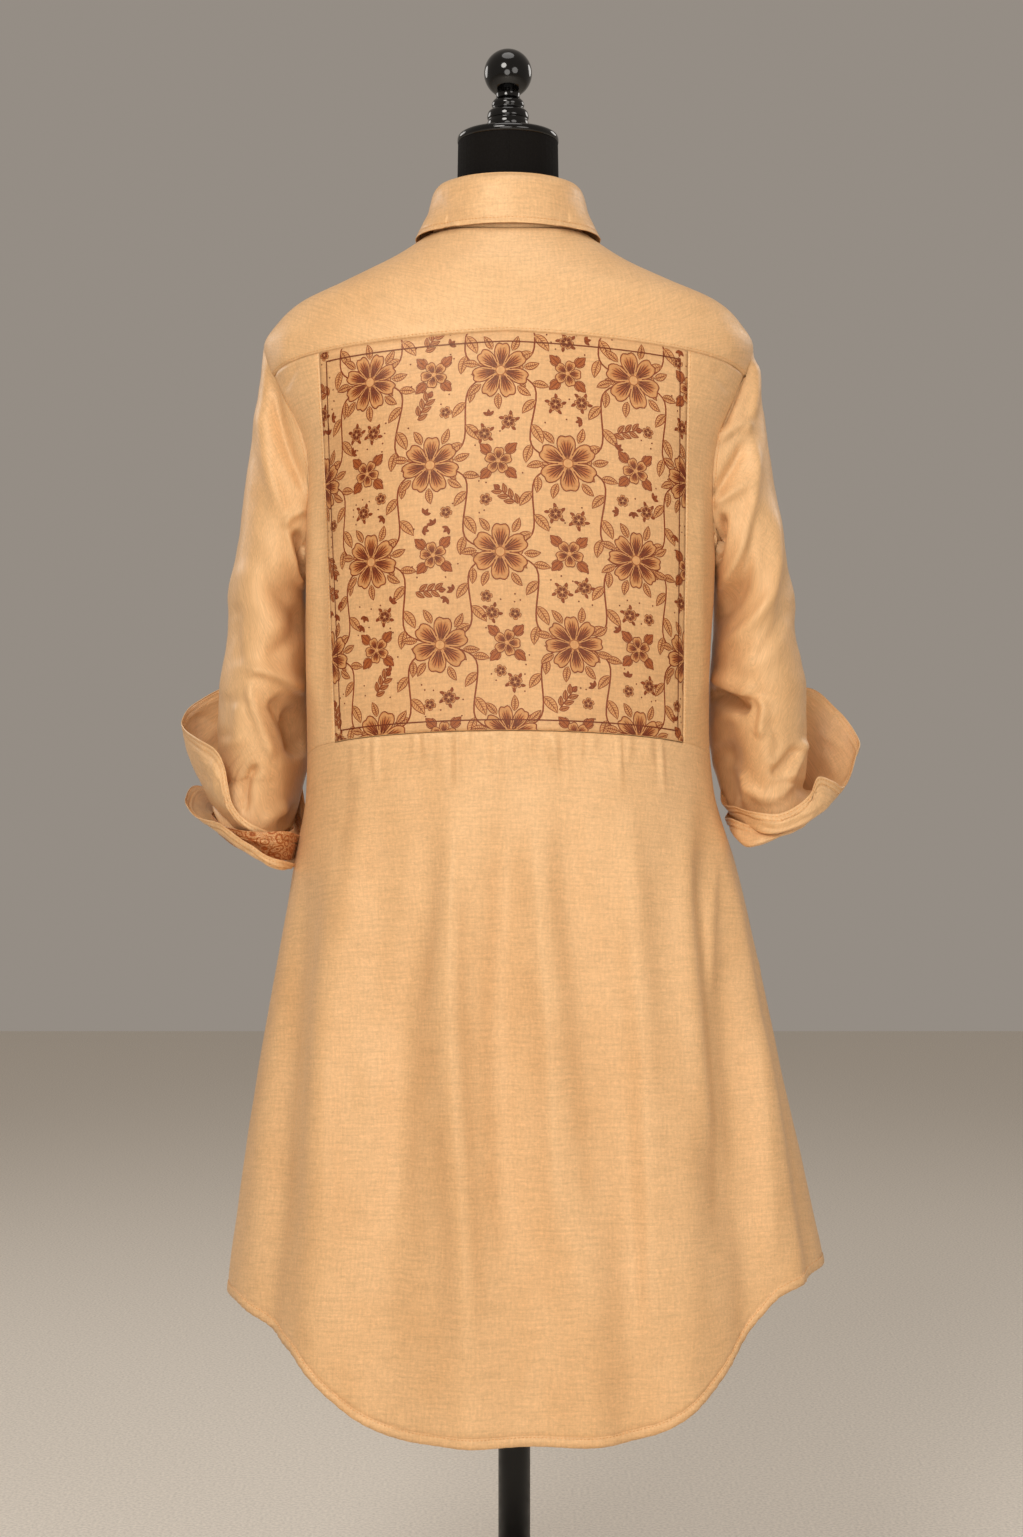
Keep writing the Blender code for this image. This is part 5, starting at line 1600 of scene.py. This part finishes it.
# Each cuff as loops from its rim to its foot. A loop's knots are (pixel x, pixel y, depth), from
# its outer side over its back, its inner side and its front.
CUFFS = {
    "cuff_left": (
        (
            (184, 718, 0.046), (186, 728, 0.022), (199, 738, -0.015), (216, 749, -0.038),
            (224, 764, -0.046), (227, 782, -0.049), (231, 802, -0.050), (242, 817, -0.049),
            (262, 829, -0.044), (298, 838, -0.005), (303, 800, 0.070), (280, 705, 0.134),
            (238, 684, 0.136), (197, 702, 0.092),
        ),
        (
            (184, 732, 0.047), (187, 745, 0.020), (197, 758, -0.019), (211, 769, -0.042),
            (219, 780, -0.050), (223, 795, -0.053), (230, 810, -0.053), (242, 823, -0.051),
            (262, 834, -0.045), (297, 842, -0.004), (301, 810, 0.070), (278, 725, 0.132),
            (240, 708, 0.134), (197, 720, 0.092),
        ),
        (
            (189, 754, 0.046), (193, 767, 0.020), (203, 780, -0.016), (213, 790, -0.038),
            (220, 798, -0.046), (226, 807, -0.050), (233, 818, -0.050), (244, 828, -0.047),
            (262, 838, -0.041), (295, 843, -0.003), (298, 820, 0.066), (276, 760, 0.124),
            (242, 750, 0.126), (202, 752, 0.088),
        ),
        (
            (209, 794, 0.046), (211, 802, 0.022), (215, 807, -0.006), (221, 814, -0.024),
            (227, 819, -0.032), (233, 825, -0.036), (241, 831, -0.037), (251, 836, -0.036),
            (265, 840, -0.030), (291, 830, 0.000), (290, 822, 0.060), (272, 818, 0.110),
            (245, 813, 0.118), (217, 800, 0.086),
        ),
    ),
    "cuff_left_facing": (
        (
            (214, 812, 0.046), (216, 817, 0.015), (222, 823, -0.015), (231, 827, -0.037),
            (246, 831, -0.051), (266, 832, -0.055), (286, 831, -0.046), (299, 834, -0.012),
            (301, 822, 0.040), (290, 800, 0.100), (262, 790, 0.128), (230, 797, 0.104),
        ),
        (
            (213, 818, 0.046), (216, 823, 0.013), (223, 829, -0.019), (234, 834, -0.042),
            (247, 839, -0.056), (266, 840, -0.059), (285, 840, -0.049), (298, 841, -0.014),
            (299, 830, 0.040), (288, 808, 0.098), (262, 800, 0.124), (231, 806, 0.102),
        ),
        (
            (213, 822, 0.046), (217, 828, 0.014), (225, 834, -0.016), (235, 838, -0.037),
            (248, 844, -0.049), (266, 849, -0.052), (284, 851, -0.043), (297, 850, -0.012),
            (298, 834, 0.039), (287, 815, 0.094), (262, 808, 0.118), (232, 812, 0.098),
        ),
        (
            (214, 826, 0.046), (218, 833, 0.018), (226, 840, -0.008), (237, 847, -0.028),
            (249, 853, -0.040), (266, 858, -0.044), (283, 860, -0.035), (295, 857, -0.008),
            (296, 838, 0.038), (286, 822, 0.090), (262, 816, 0.112), (233, 818, 0.093),
        ),
    ),
    "cuff_left_turn": (
        (
            (187, 797, 0.046), (190, 807, 0.012), (197, 815, -0.018), (208, 819, -0.040),
            (219, 822, -0.053), (230, 830, -0.060), (240, 838, -0.063), (252, 846, -0.065),
            (266, 855, -0.064), (281, 860, -0.054), (298, 861, -0.014), (300, 842, 0.040),
            (284, 815, 0.110), (240, 799, 0.134), (198, 784, 0.100),
        ),
        (
            (188, 800, 0.046), (192, 811, 0.011), (200, 818, -0.020), (210, 824, -0.042),
            (221, 829, -0.055), (231, 836, -0.061), (242, 844, -0.064), (254, 851, -0.066),
            (267, 860, -0.064), (282, 865, -0.054), (297, 862, -0.012), (299, 845, 0.040),
            (282, 820, 0.108), (239, 805, 0.131), (200, 788, 0.098),
        ),
        (
            (193, 806, 0.046), (198, 816, 0.012), (206, 822, -0.017), (215, 830, -0.036),
            (225, 837, -0.048), (235, 845, -0.054), (246, 852, -0.057), (258, 859, -0.058),
            (271, 866, -0.056), (283, 869, -0.046), (294, 863, -0.010), (296, 850, 0.038),
            (278, 828, 0.102), (239, 815, 0.123), (206, 798, 0.092),
        ),
        (
            (212, 814, 0.046), (215, 820, 0.020), (220, 826, -0.004), (226, 831, -0.020),
            (233, 836, -0.030), (241, 843, -0.035), (250, 850, -0.037), (261, 857, -0.037),
            (272, 862, -0.034), (282, 863, -0.025), (290, 857, 0.0), (290, 842, 0.036),
            (274, 830, 0.086), (240, 824, 0.100), (218, 814, 0.080),
        ),
    ),
    "cuff_right": (
        (
            (857, 738, 0.046), (855, 752, 0.028), (850, 770, 0.006), (842, 786, -0.014),
            (832, 781, -0.030), (817, 777, -0.042), (811, 793, -0.051), (797, 806, -0.055),
            (778, 814, -0.056), (757, 812, -0.048), (738, 806, -0.022), (722, 795, 0.030),
            (738, 730, 0.110), (800, 687, 0.130), (836, 708, 0.094),
        ),
        (
            (856, 745, 0.047), (853, 761, 0.027), (848, 777, 0.003), (840, 792, -0.017),
            (831, 791, -0.035), (820, 790, -0.047), (812, 803, -0.056), (798, 814, -0.060),
            (780, 821, -0.061), (760, 819, -0.052), (741, 813, -0.026), (724, 800, 0.029),
            (738, 742, 0.107), (798, 701, 0.127), (834, 716, 0.092),
        ),
        (
            (848, 766, 0.046), (845, 779, 0.024), (839, 790, 0.000), (833, 800, -0.019),
            (829, 806, -0.036), (821, 812, -0.047), (809, 821, -0.056), (795, 828, -0.060),
            (778, 833, -0.061), (760, 831, -0.051), (744, 823, -0.025), (729, 809, 0.027),
            (741, 770, 0.098), (795, 735, 0.117), (827, 740, 0.086),
        ),
        (
            (824, 793, 0.044), (824, 798, 0.024), (822, 803, 0.004), (818, 808, -0.014),
            (813, 813, -0.026), (806, 819, -0.035), (797, 824, -0.041), (787, 829, -0.044),
            (775, 831, -0.044), (760, 829, -0.036), (747, 822, -0.014), (738, 812, 0.026),
            (746, 800, 0.086), (788, 795, 0.100), (815, 793, 0.076),
        ),
    ),
    "cuff_right_turn": (
        (
            (815, 806, 0.044), (812, 812, 0.010), (803, 818, -0.018), (790, 823, -0.034),
            (775, 826, -0.040), (760, 827, -0.040), (746, 824, -0.032), (733, 818, -0.014),
            (727, 815, 0.040), (742, 800, 0.110), (782, 800, 0.132), (806, 804, 0.100),
        ),
        (
            (812, 815, 0.044), (808, 822, 0.012), (799, 829, -0.019), (787, 834, -0.040),
            (773, 838, -0.053), (759, 842, -0.055), (746, 844, -0.046), (732, 834, -0.018),
            (729, 820, 0.040), (744, 808, 0.102), (780, 806, 0.122), (802, 808, 0.094),
        ),
        (
            (800, 819, 0.040), (796, 825, 0.014), (788, 832, -0.010), (778, 837, -0.026),
            (768, 842, -0.036), (757, 845, -0.038), (747, 846, -0.032), (738, 837, -0.010),
            (736, 824, 0.036), (748, 814, 0.088), (776, 813, 0.104), (794, 815, 0.080),
        ),
    ),
}

CUFF_CREASES = table(
    Crease,
    (1.6, 3, 3, ((211, 758), (218, 778), (226, 800))),
    (-1.8, 3, 3, ((216, 775), (222, 790), (228, 806))),
    (-1.4, 4, 4, ((192, 748), (200, 768), (212, 788))),
    (1.4, 3, 2, ((800, 817), (813, 810), (826, 800))),
    (-1.8, 3, 3, ((806, 804), (813, 797), (820, 790))),
    (1.8, 4, 3, ((746, 812), (770, 823), (790, 819), (808, 806))),
    (-1.6, 3, 4, ((756, 822), (775, 829), (796, 823), (815, 812))),
    (0.9, 3, 3, ((262, 861), (275, 866), (288, 866))),
    (-0.8, 2, 2, ((240, 845), (262, 856), (280, 861))),
)
INNER_CREASES = table(
    Crease,
    (-1.6, 3, 4, ((219, 724), (212, 733), (205, 742))),
    (1.5, 4, 3, ((203, 712), (212, 722), (220, 728))),
    (-1.6, 3, 4, ((820, 730), (833, 741), (846, 749))),
    (1.6, 3, 3, ((815, 768), (833, 780), (841, 786))),
    (-1.2, 4, 4, ((826, 752), (832, 765), (838, 772))),
)
RIM_ROLL = 0.0011
CUFF_BAND = 0.0078
CUFF_GROOVE = 0.0082
BAND_HEIGHT = 0.0009
CUFF_STITCHES = (0.0032, CUFF_BAND)
CUFF_ROWS = np.concatenate([np.linspace(0, 0.1, 14), np.linspace(0.1, 1, 28)[1:]])
CUFF_STEPS = 240


def cuff_points(name, columns):
    """A cuff's outer face, with closer rows at its rim for the rolled edge and its stitches."""
    loops = np.array([placed(loop) for loop in CUFFS[name]])
    if "right" in name:
        loops = loops[:, ::-1]
    dense = through(loops, CUFF_STEPS + 1)[np.rint(CUFF_STEPS * CUFF_ROWS).astype(int)]
    points = through(dense.swapaxes(0, 1), columns, closed=True).swapaxes(0, 1)
    down = lengths(points, 0)
    band = smooth((CUFF_BAND - down) / 0.0012) - 0.9 * bump((down - CUFF_GROOVE) / 0.0010)
    roll = RIM_ROLL * bump((down - 0.0012) / 0.0016) + BAND_HEIGHT * band
    return moved_out(points, roll + uneven(points, "cuff") * smooth(down / 0.006), True)


def make_cuffs():
    for name in CUFFS:
        points = cuff_points(name, 160)
        points = creased(points, CUFF_CREASES, True)
        points = creased(points, INNER_CREASES, True, facing=1)
        for distance in CUFF_STITCHES:
            line, up = along_edge(points, distance, "top", True)
            tag = f"{name}_stitches_{round(distance * 10000)}"
            stitched(tag + "_outside", line, up)
            stitched(tag + "_inside", line - up * SHELL, up, inside=True)
        slot = "printed_cloth" if name == "cuff_left_facing" else "tan_cloth"
        piece = sewn(name + "_cloth", points, [name], slot, True)
        if name == "cuff_left_facing":
            piece.data.materials[0] = BAND


# ---------------------------------------------------------------- collar

# A row of the collar's fall: how far out of the stand's top and how far down it lies at the back
# and the front, and the angle at which it ends.
Fall = namedtuple("Fall", "out_back out_front drop_back drop_front end")
FALL = table(
    Fall,
    (-0.0002, -0.0002, -0.0010, -0.0024, COLLAR_END),
    (0.0030, 0.0040, -0.0005, -0.0022, COLLAR_END),
    (0.0056, 0.0086, 0.0060, 0.0050, COLLAR_END),
    (0.0120, 0.0230, 0.0230, 0.0240, 174.0),
    (0.0195, 0.0370, 0.0385, 0.0400, 172.0),
    (0.0235, 0.0460, 0.0468, 0.0550, 169.0),
)
COLLAR_STITCH = 0.0056
COLLAR_DIP = 0.0006
COLLAR_FRONT_START = 92
COLLAR_CREASES = table(
    Crease,
    (0.8, 7, 7, ((440, 214), (470, 206), (500, 208))),
    (-0.7, 6, 6, ((452, 222), (480, 214), (512, 214))),
    (0.7, 8, 8, ((540, 196), (565, 203), (584, 216))),
    (-0.6, 7, 7, ((425, 222), (432, 208), (444, 196))),
)


def collar_front(angle):
    """0 round the back of the collar and 1 at the centre front."""
    return smooth((np.abs(angle) - COLLAR_FRONT_START) / (180 - COLLAR_FRONT_START))


def stand_points(angle, share):
    """Points of the collar stand: share 0 at the neck seam and 1 at its top."""
    front = collar_front(angle)
    inset = WALL + 2 * SEAM + STAND_SIDE_INSET * smooth((np.abs(angle) - 65) / 25)
    foot = body_points(neck_seam(angle), angle, -inset, folded=False)
    top_z = mix(COLLAR_TOP, NECK_FRONT + COLLAR_FRONT_RISE, front)
    depth = mix(COLLAR_BACK, COLLAR_FRONT, front)
    top = section_points(top_z, angle, COLLAR_HALF_WIDTH, depth, 2.0)
    return mix(foot, top, np.asarray(share)[..., None])


def fall_row(fall, columns):
    angle = np.linspace(-fall.end, fall.end, columns)
    front = collar_front(angle)
    top = stand_points(angle, 1.0)
    z = top[:, 2] - mix(fall.drop_back, fall.drop_front, front)
    away = top * np.array([1, 1, 0])
    away /= np.linalg.norm(away, axis=1, keepdims=True)
    lying = 0.40 + 0.60 * smooth((np.abs(angle) - 15) / 60)
    flared = top + away * (lying * mix(fall.out_back, fall.out_front, front))[:, None]
    foot = neck_seam(angle)
    on_stand = stand_points(angle, np.clip((z - foot) / (top[:, 2] - foot), 0, 1))
    on_body = body_points(z, angle, folded=False)
    laid = np.where((z > foot)[:, None], on_stand, on_body) + away * FALL_CLEAR
    wider = np.hypot(laid[:, 0], laid[:, 1]) > np.hypot(flared[:, 0], flared[:, 1])
    points = np.where((wider & (z < top[:, 2]))[:, None], laid, flared)
    points[:, 2] = z
    return points


def make_collar(columns=220, rows=56):
    last = 180 - 2 * SEAM_ANGLE
    angle = np.linspace(-last, last, columns)
    stand = np.array([stand_points(angle, share) for share in np.linspace(1, 0, 14)])
    stand = moved_out(stand, np.full(stand.shape[:2], WALL))
    sewn("collar_stand_cloth", stand, ["collar_stand"], "tan_cloth")
    fall = through(np.array([fall_row(row, columns) for row in FALL]), rows)
    points = moved_out(fall, np.full(fall.shape[:2], WALL))
    down = lengths(points, 0)
    edge = down[-1] - down
    relief = uneven(points, "collar") * smooth(down / 0.012)
    relief = relief - COLLAR_DIP * bump((edge - COLLAR_STITCH) / 0.0010)
    points = creased(moved_out(points, relief), COLLAR_CREASES)
    runs = [
        stitched("collar_stitches" + end, *along_edge(points, COLLAR_STITCH, side))
        for end, side in (("", "foot"), ("_left", "left"), ("_right", "right"))
    ]
    sewn("collar_fall_cloth", points, ["collar_fall"], "tan_cloth")


# ---------------------------------------------------------------- dress form

CAP_RADIUS = 0.0475
CAP_FOOT = 1.5080
CAP_TOP = CAP_FOOT + 0.0084
FINIAL_RADIUS = 0.0226
FINIAL_CENTRE = 1.5734
FINIAL_FOOT = CAP_TOP + SEAM
BALL_END = 150
FORM_HIP = 0.660
POLE_RADIUS = 0.0150
POLE_X = 0.0059
BASE_RADIUS = 0.170
BASE_HEIGHT = 0.024
NECK_RADIUS = 0.0470
BASE_RIM = (
    (0.0, BASE_HEIGHT), (0.024, BASE_HEIGHT), (0.0265, BASE_HEIGHT - 0.001),
    (0.030, BASE_HEIGHT - 0.006), (BASE_RADIUS - 0.020, 0.0125), (BASE_RADIUS - 0.004, 0.0090),
    (BASE_RADIUS - 0.0008, 0.0070), (BASE_RADIUS, 0.0050), (BASE_RADIUS, 0.0), (0.0, 0.0),
)
SEAM_ACROSS = np.array([-0.0011, -0.0004, 0.0, 0.0004, 0.0011])
SEAM_LIFT = np.array([-0.0002, 0.0003, -0.0001, 0.0003, -0.0002])

CAP_RIM = (
    (-0.0475, 0.0), (-0.0090, -0.0003), (-0.0025, -0.0014), (-0.0006, -0.0030), (0.0, -0.0048),
)
STEM = (
    (0.0113, 0.0377), (0.0112, 0.0350), (0.0116, 0.0330), (0.0140, 0.0304), (0.0151, 0.0282),
    (0.0153, 0.0268), (0.0151, 0.0254), (0.0147, 0.0240), (0.0152, 0.0228), (0.0180, 0.0206),
    (0.0190, 0.0188), (0.0195, 0.0165), (0.0195, 0.0140), (0.0188, 0.0126), (0.0191, 0.0112),
    (0.0195, 0.0098), (0.0195, 0.0),
)


def make_form():
    rim = [(CAP_RADIUS + radius, CAP_TOP + z) for radius, z in CAP_RIM]
    cap = through(np.array(rim), 25).tolist() + [(CAP_RADIUS, CAP_FOOT), (0.0, CAP_FOOT)]
    turned_piece("neck_cap", cap, 0.0, LACQUER, ["form_cap"])
    ball = []
    for around in np.radians(np.linspace(0, BALL_END, 40)):
        reach = FINIAL_RADIUS * math.sin(around)
        ball.append((reach, FINIAL_CENTRE + FINIAL_RADIUS * math.cos(around)))
    stem = through(np.array([(radius, FINIAL_FOOT + z) for radius, z in STEM[:-1]]), 60).tolist()
    finial = ball + stem + [(STEM[-1][0], FINIAL_FOOT), (0.0, FINIAL_FOOT)]
    turned_piece("finial", finial, 0.0, LACQUER, ["form_finial"])
    pole = [(0.0, FORM_HIP - SEAM), (POLE_RADIUS, FORM_HIP - SEAM)]
    pole += [(POLE_RADIUS, BASE_HEIGHT + SEAM), (0.0, BASE_HEIGHT + SEAM)]
    turned_piece("pole", pole, POLE_X, STEEL, ["form_pole"])
    turned_piece("base", BASE_RIM, POLE_X, STEEL, ["form_base"])
    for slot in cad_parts["form_torso"].material_slots:
        slot.material = JERSEY
    z = np.linspace(CAP_FOOT - 0.002, 1.452, 30)
    radius = NECK_RADIUS + np.interp(z, (1.450, CAP_FOOT), (0.001, 0.0)) + 0.0003
    out = -(radius[:, None] + SEAM_LIFT)
    grid = np.stack(np.broadcast_arrays(SEAM_ACROSS, out, z[:, None]), axis=-1)
    corners = grid_corners(len(z), len(SEAM_ACROSS), False)
    faces = (corners[..., 0] * len(SEAM_ACROSS) + corners[..., 1]).tolist()
    plain_piece("neck_centre_seam", grid.reshape(-1, 3), faces, JERSEY)


# ---------------------------------------------------------------- all of it


def make_floor():
    mesh = bpy.data.meshes.new("floor")
    reach = FLOOR_HALF_SIZE
    corners = [(-reach, -reach, 0), (reach, -reach, 0), (reach, reach, 0), (-reach, reach, 0)]
    mesh.from_pydata(corners, [], [(0, 1, 2, 3)])
    mesh.materials.append(FLOOR)
    floor = added("floor", mesh)
    floor.location.z = -FLOOR_DROP


make_floor()
make_lights()
make_form()
make_skirt()
make_strips()
make_yoke()
make_panel()
make_print()
make_fronts()
make_placket()
make_buttons()
make_sleeves()
make_cuffs()
make_collar()
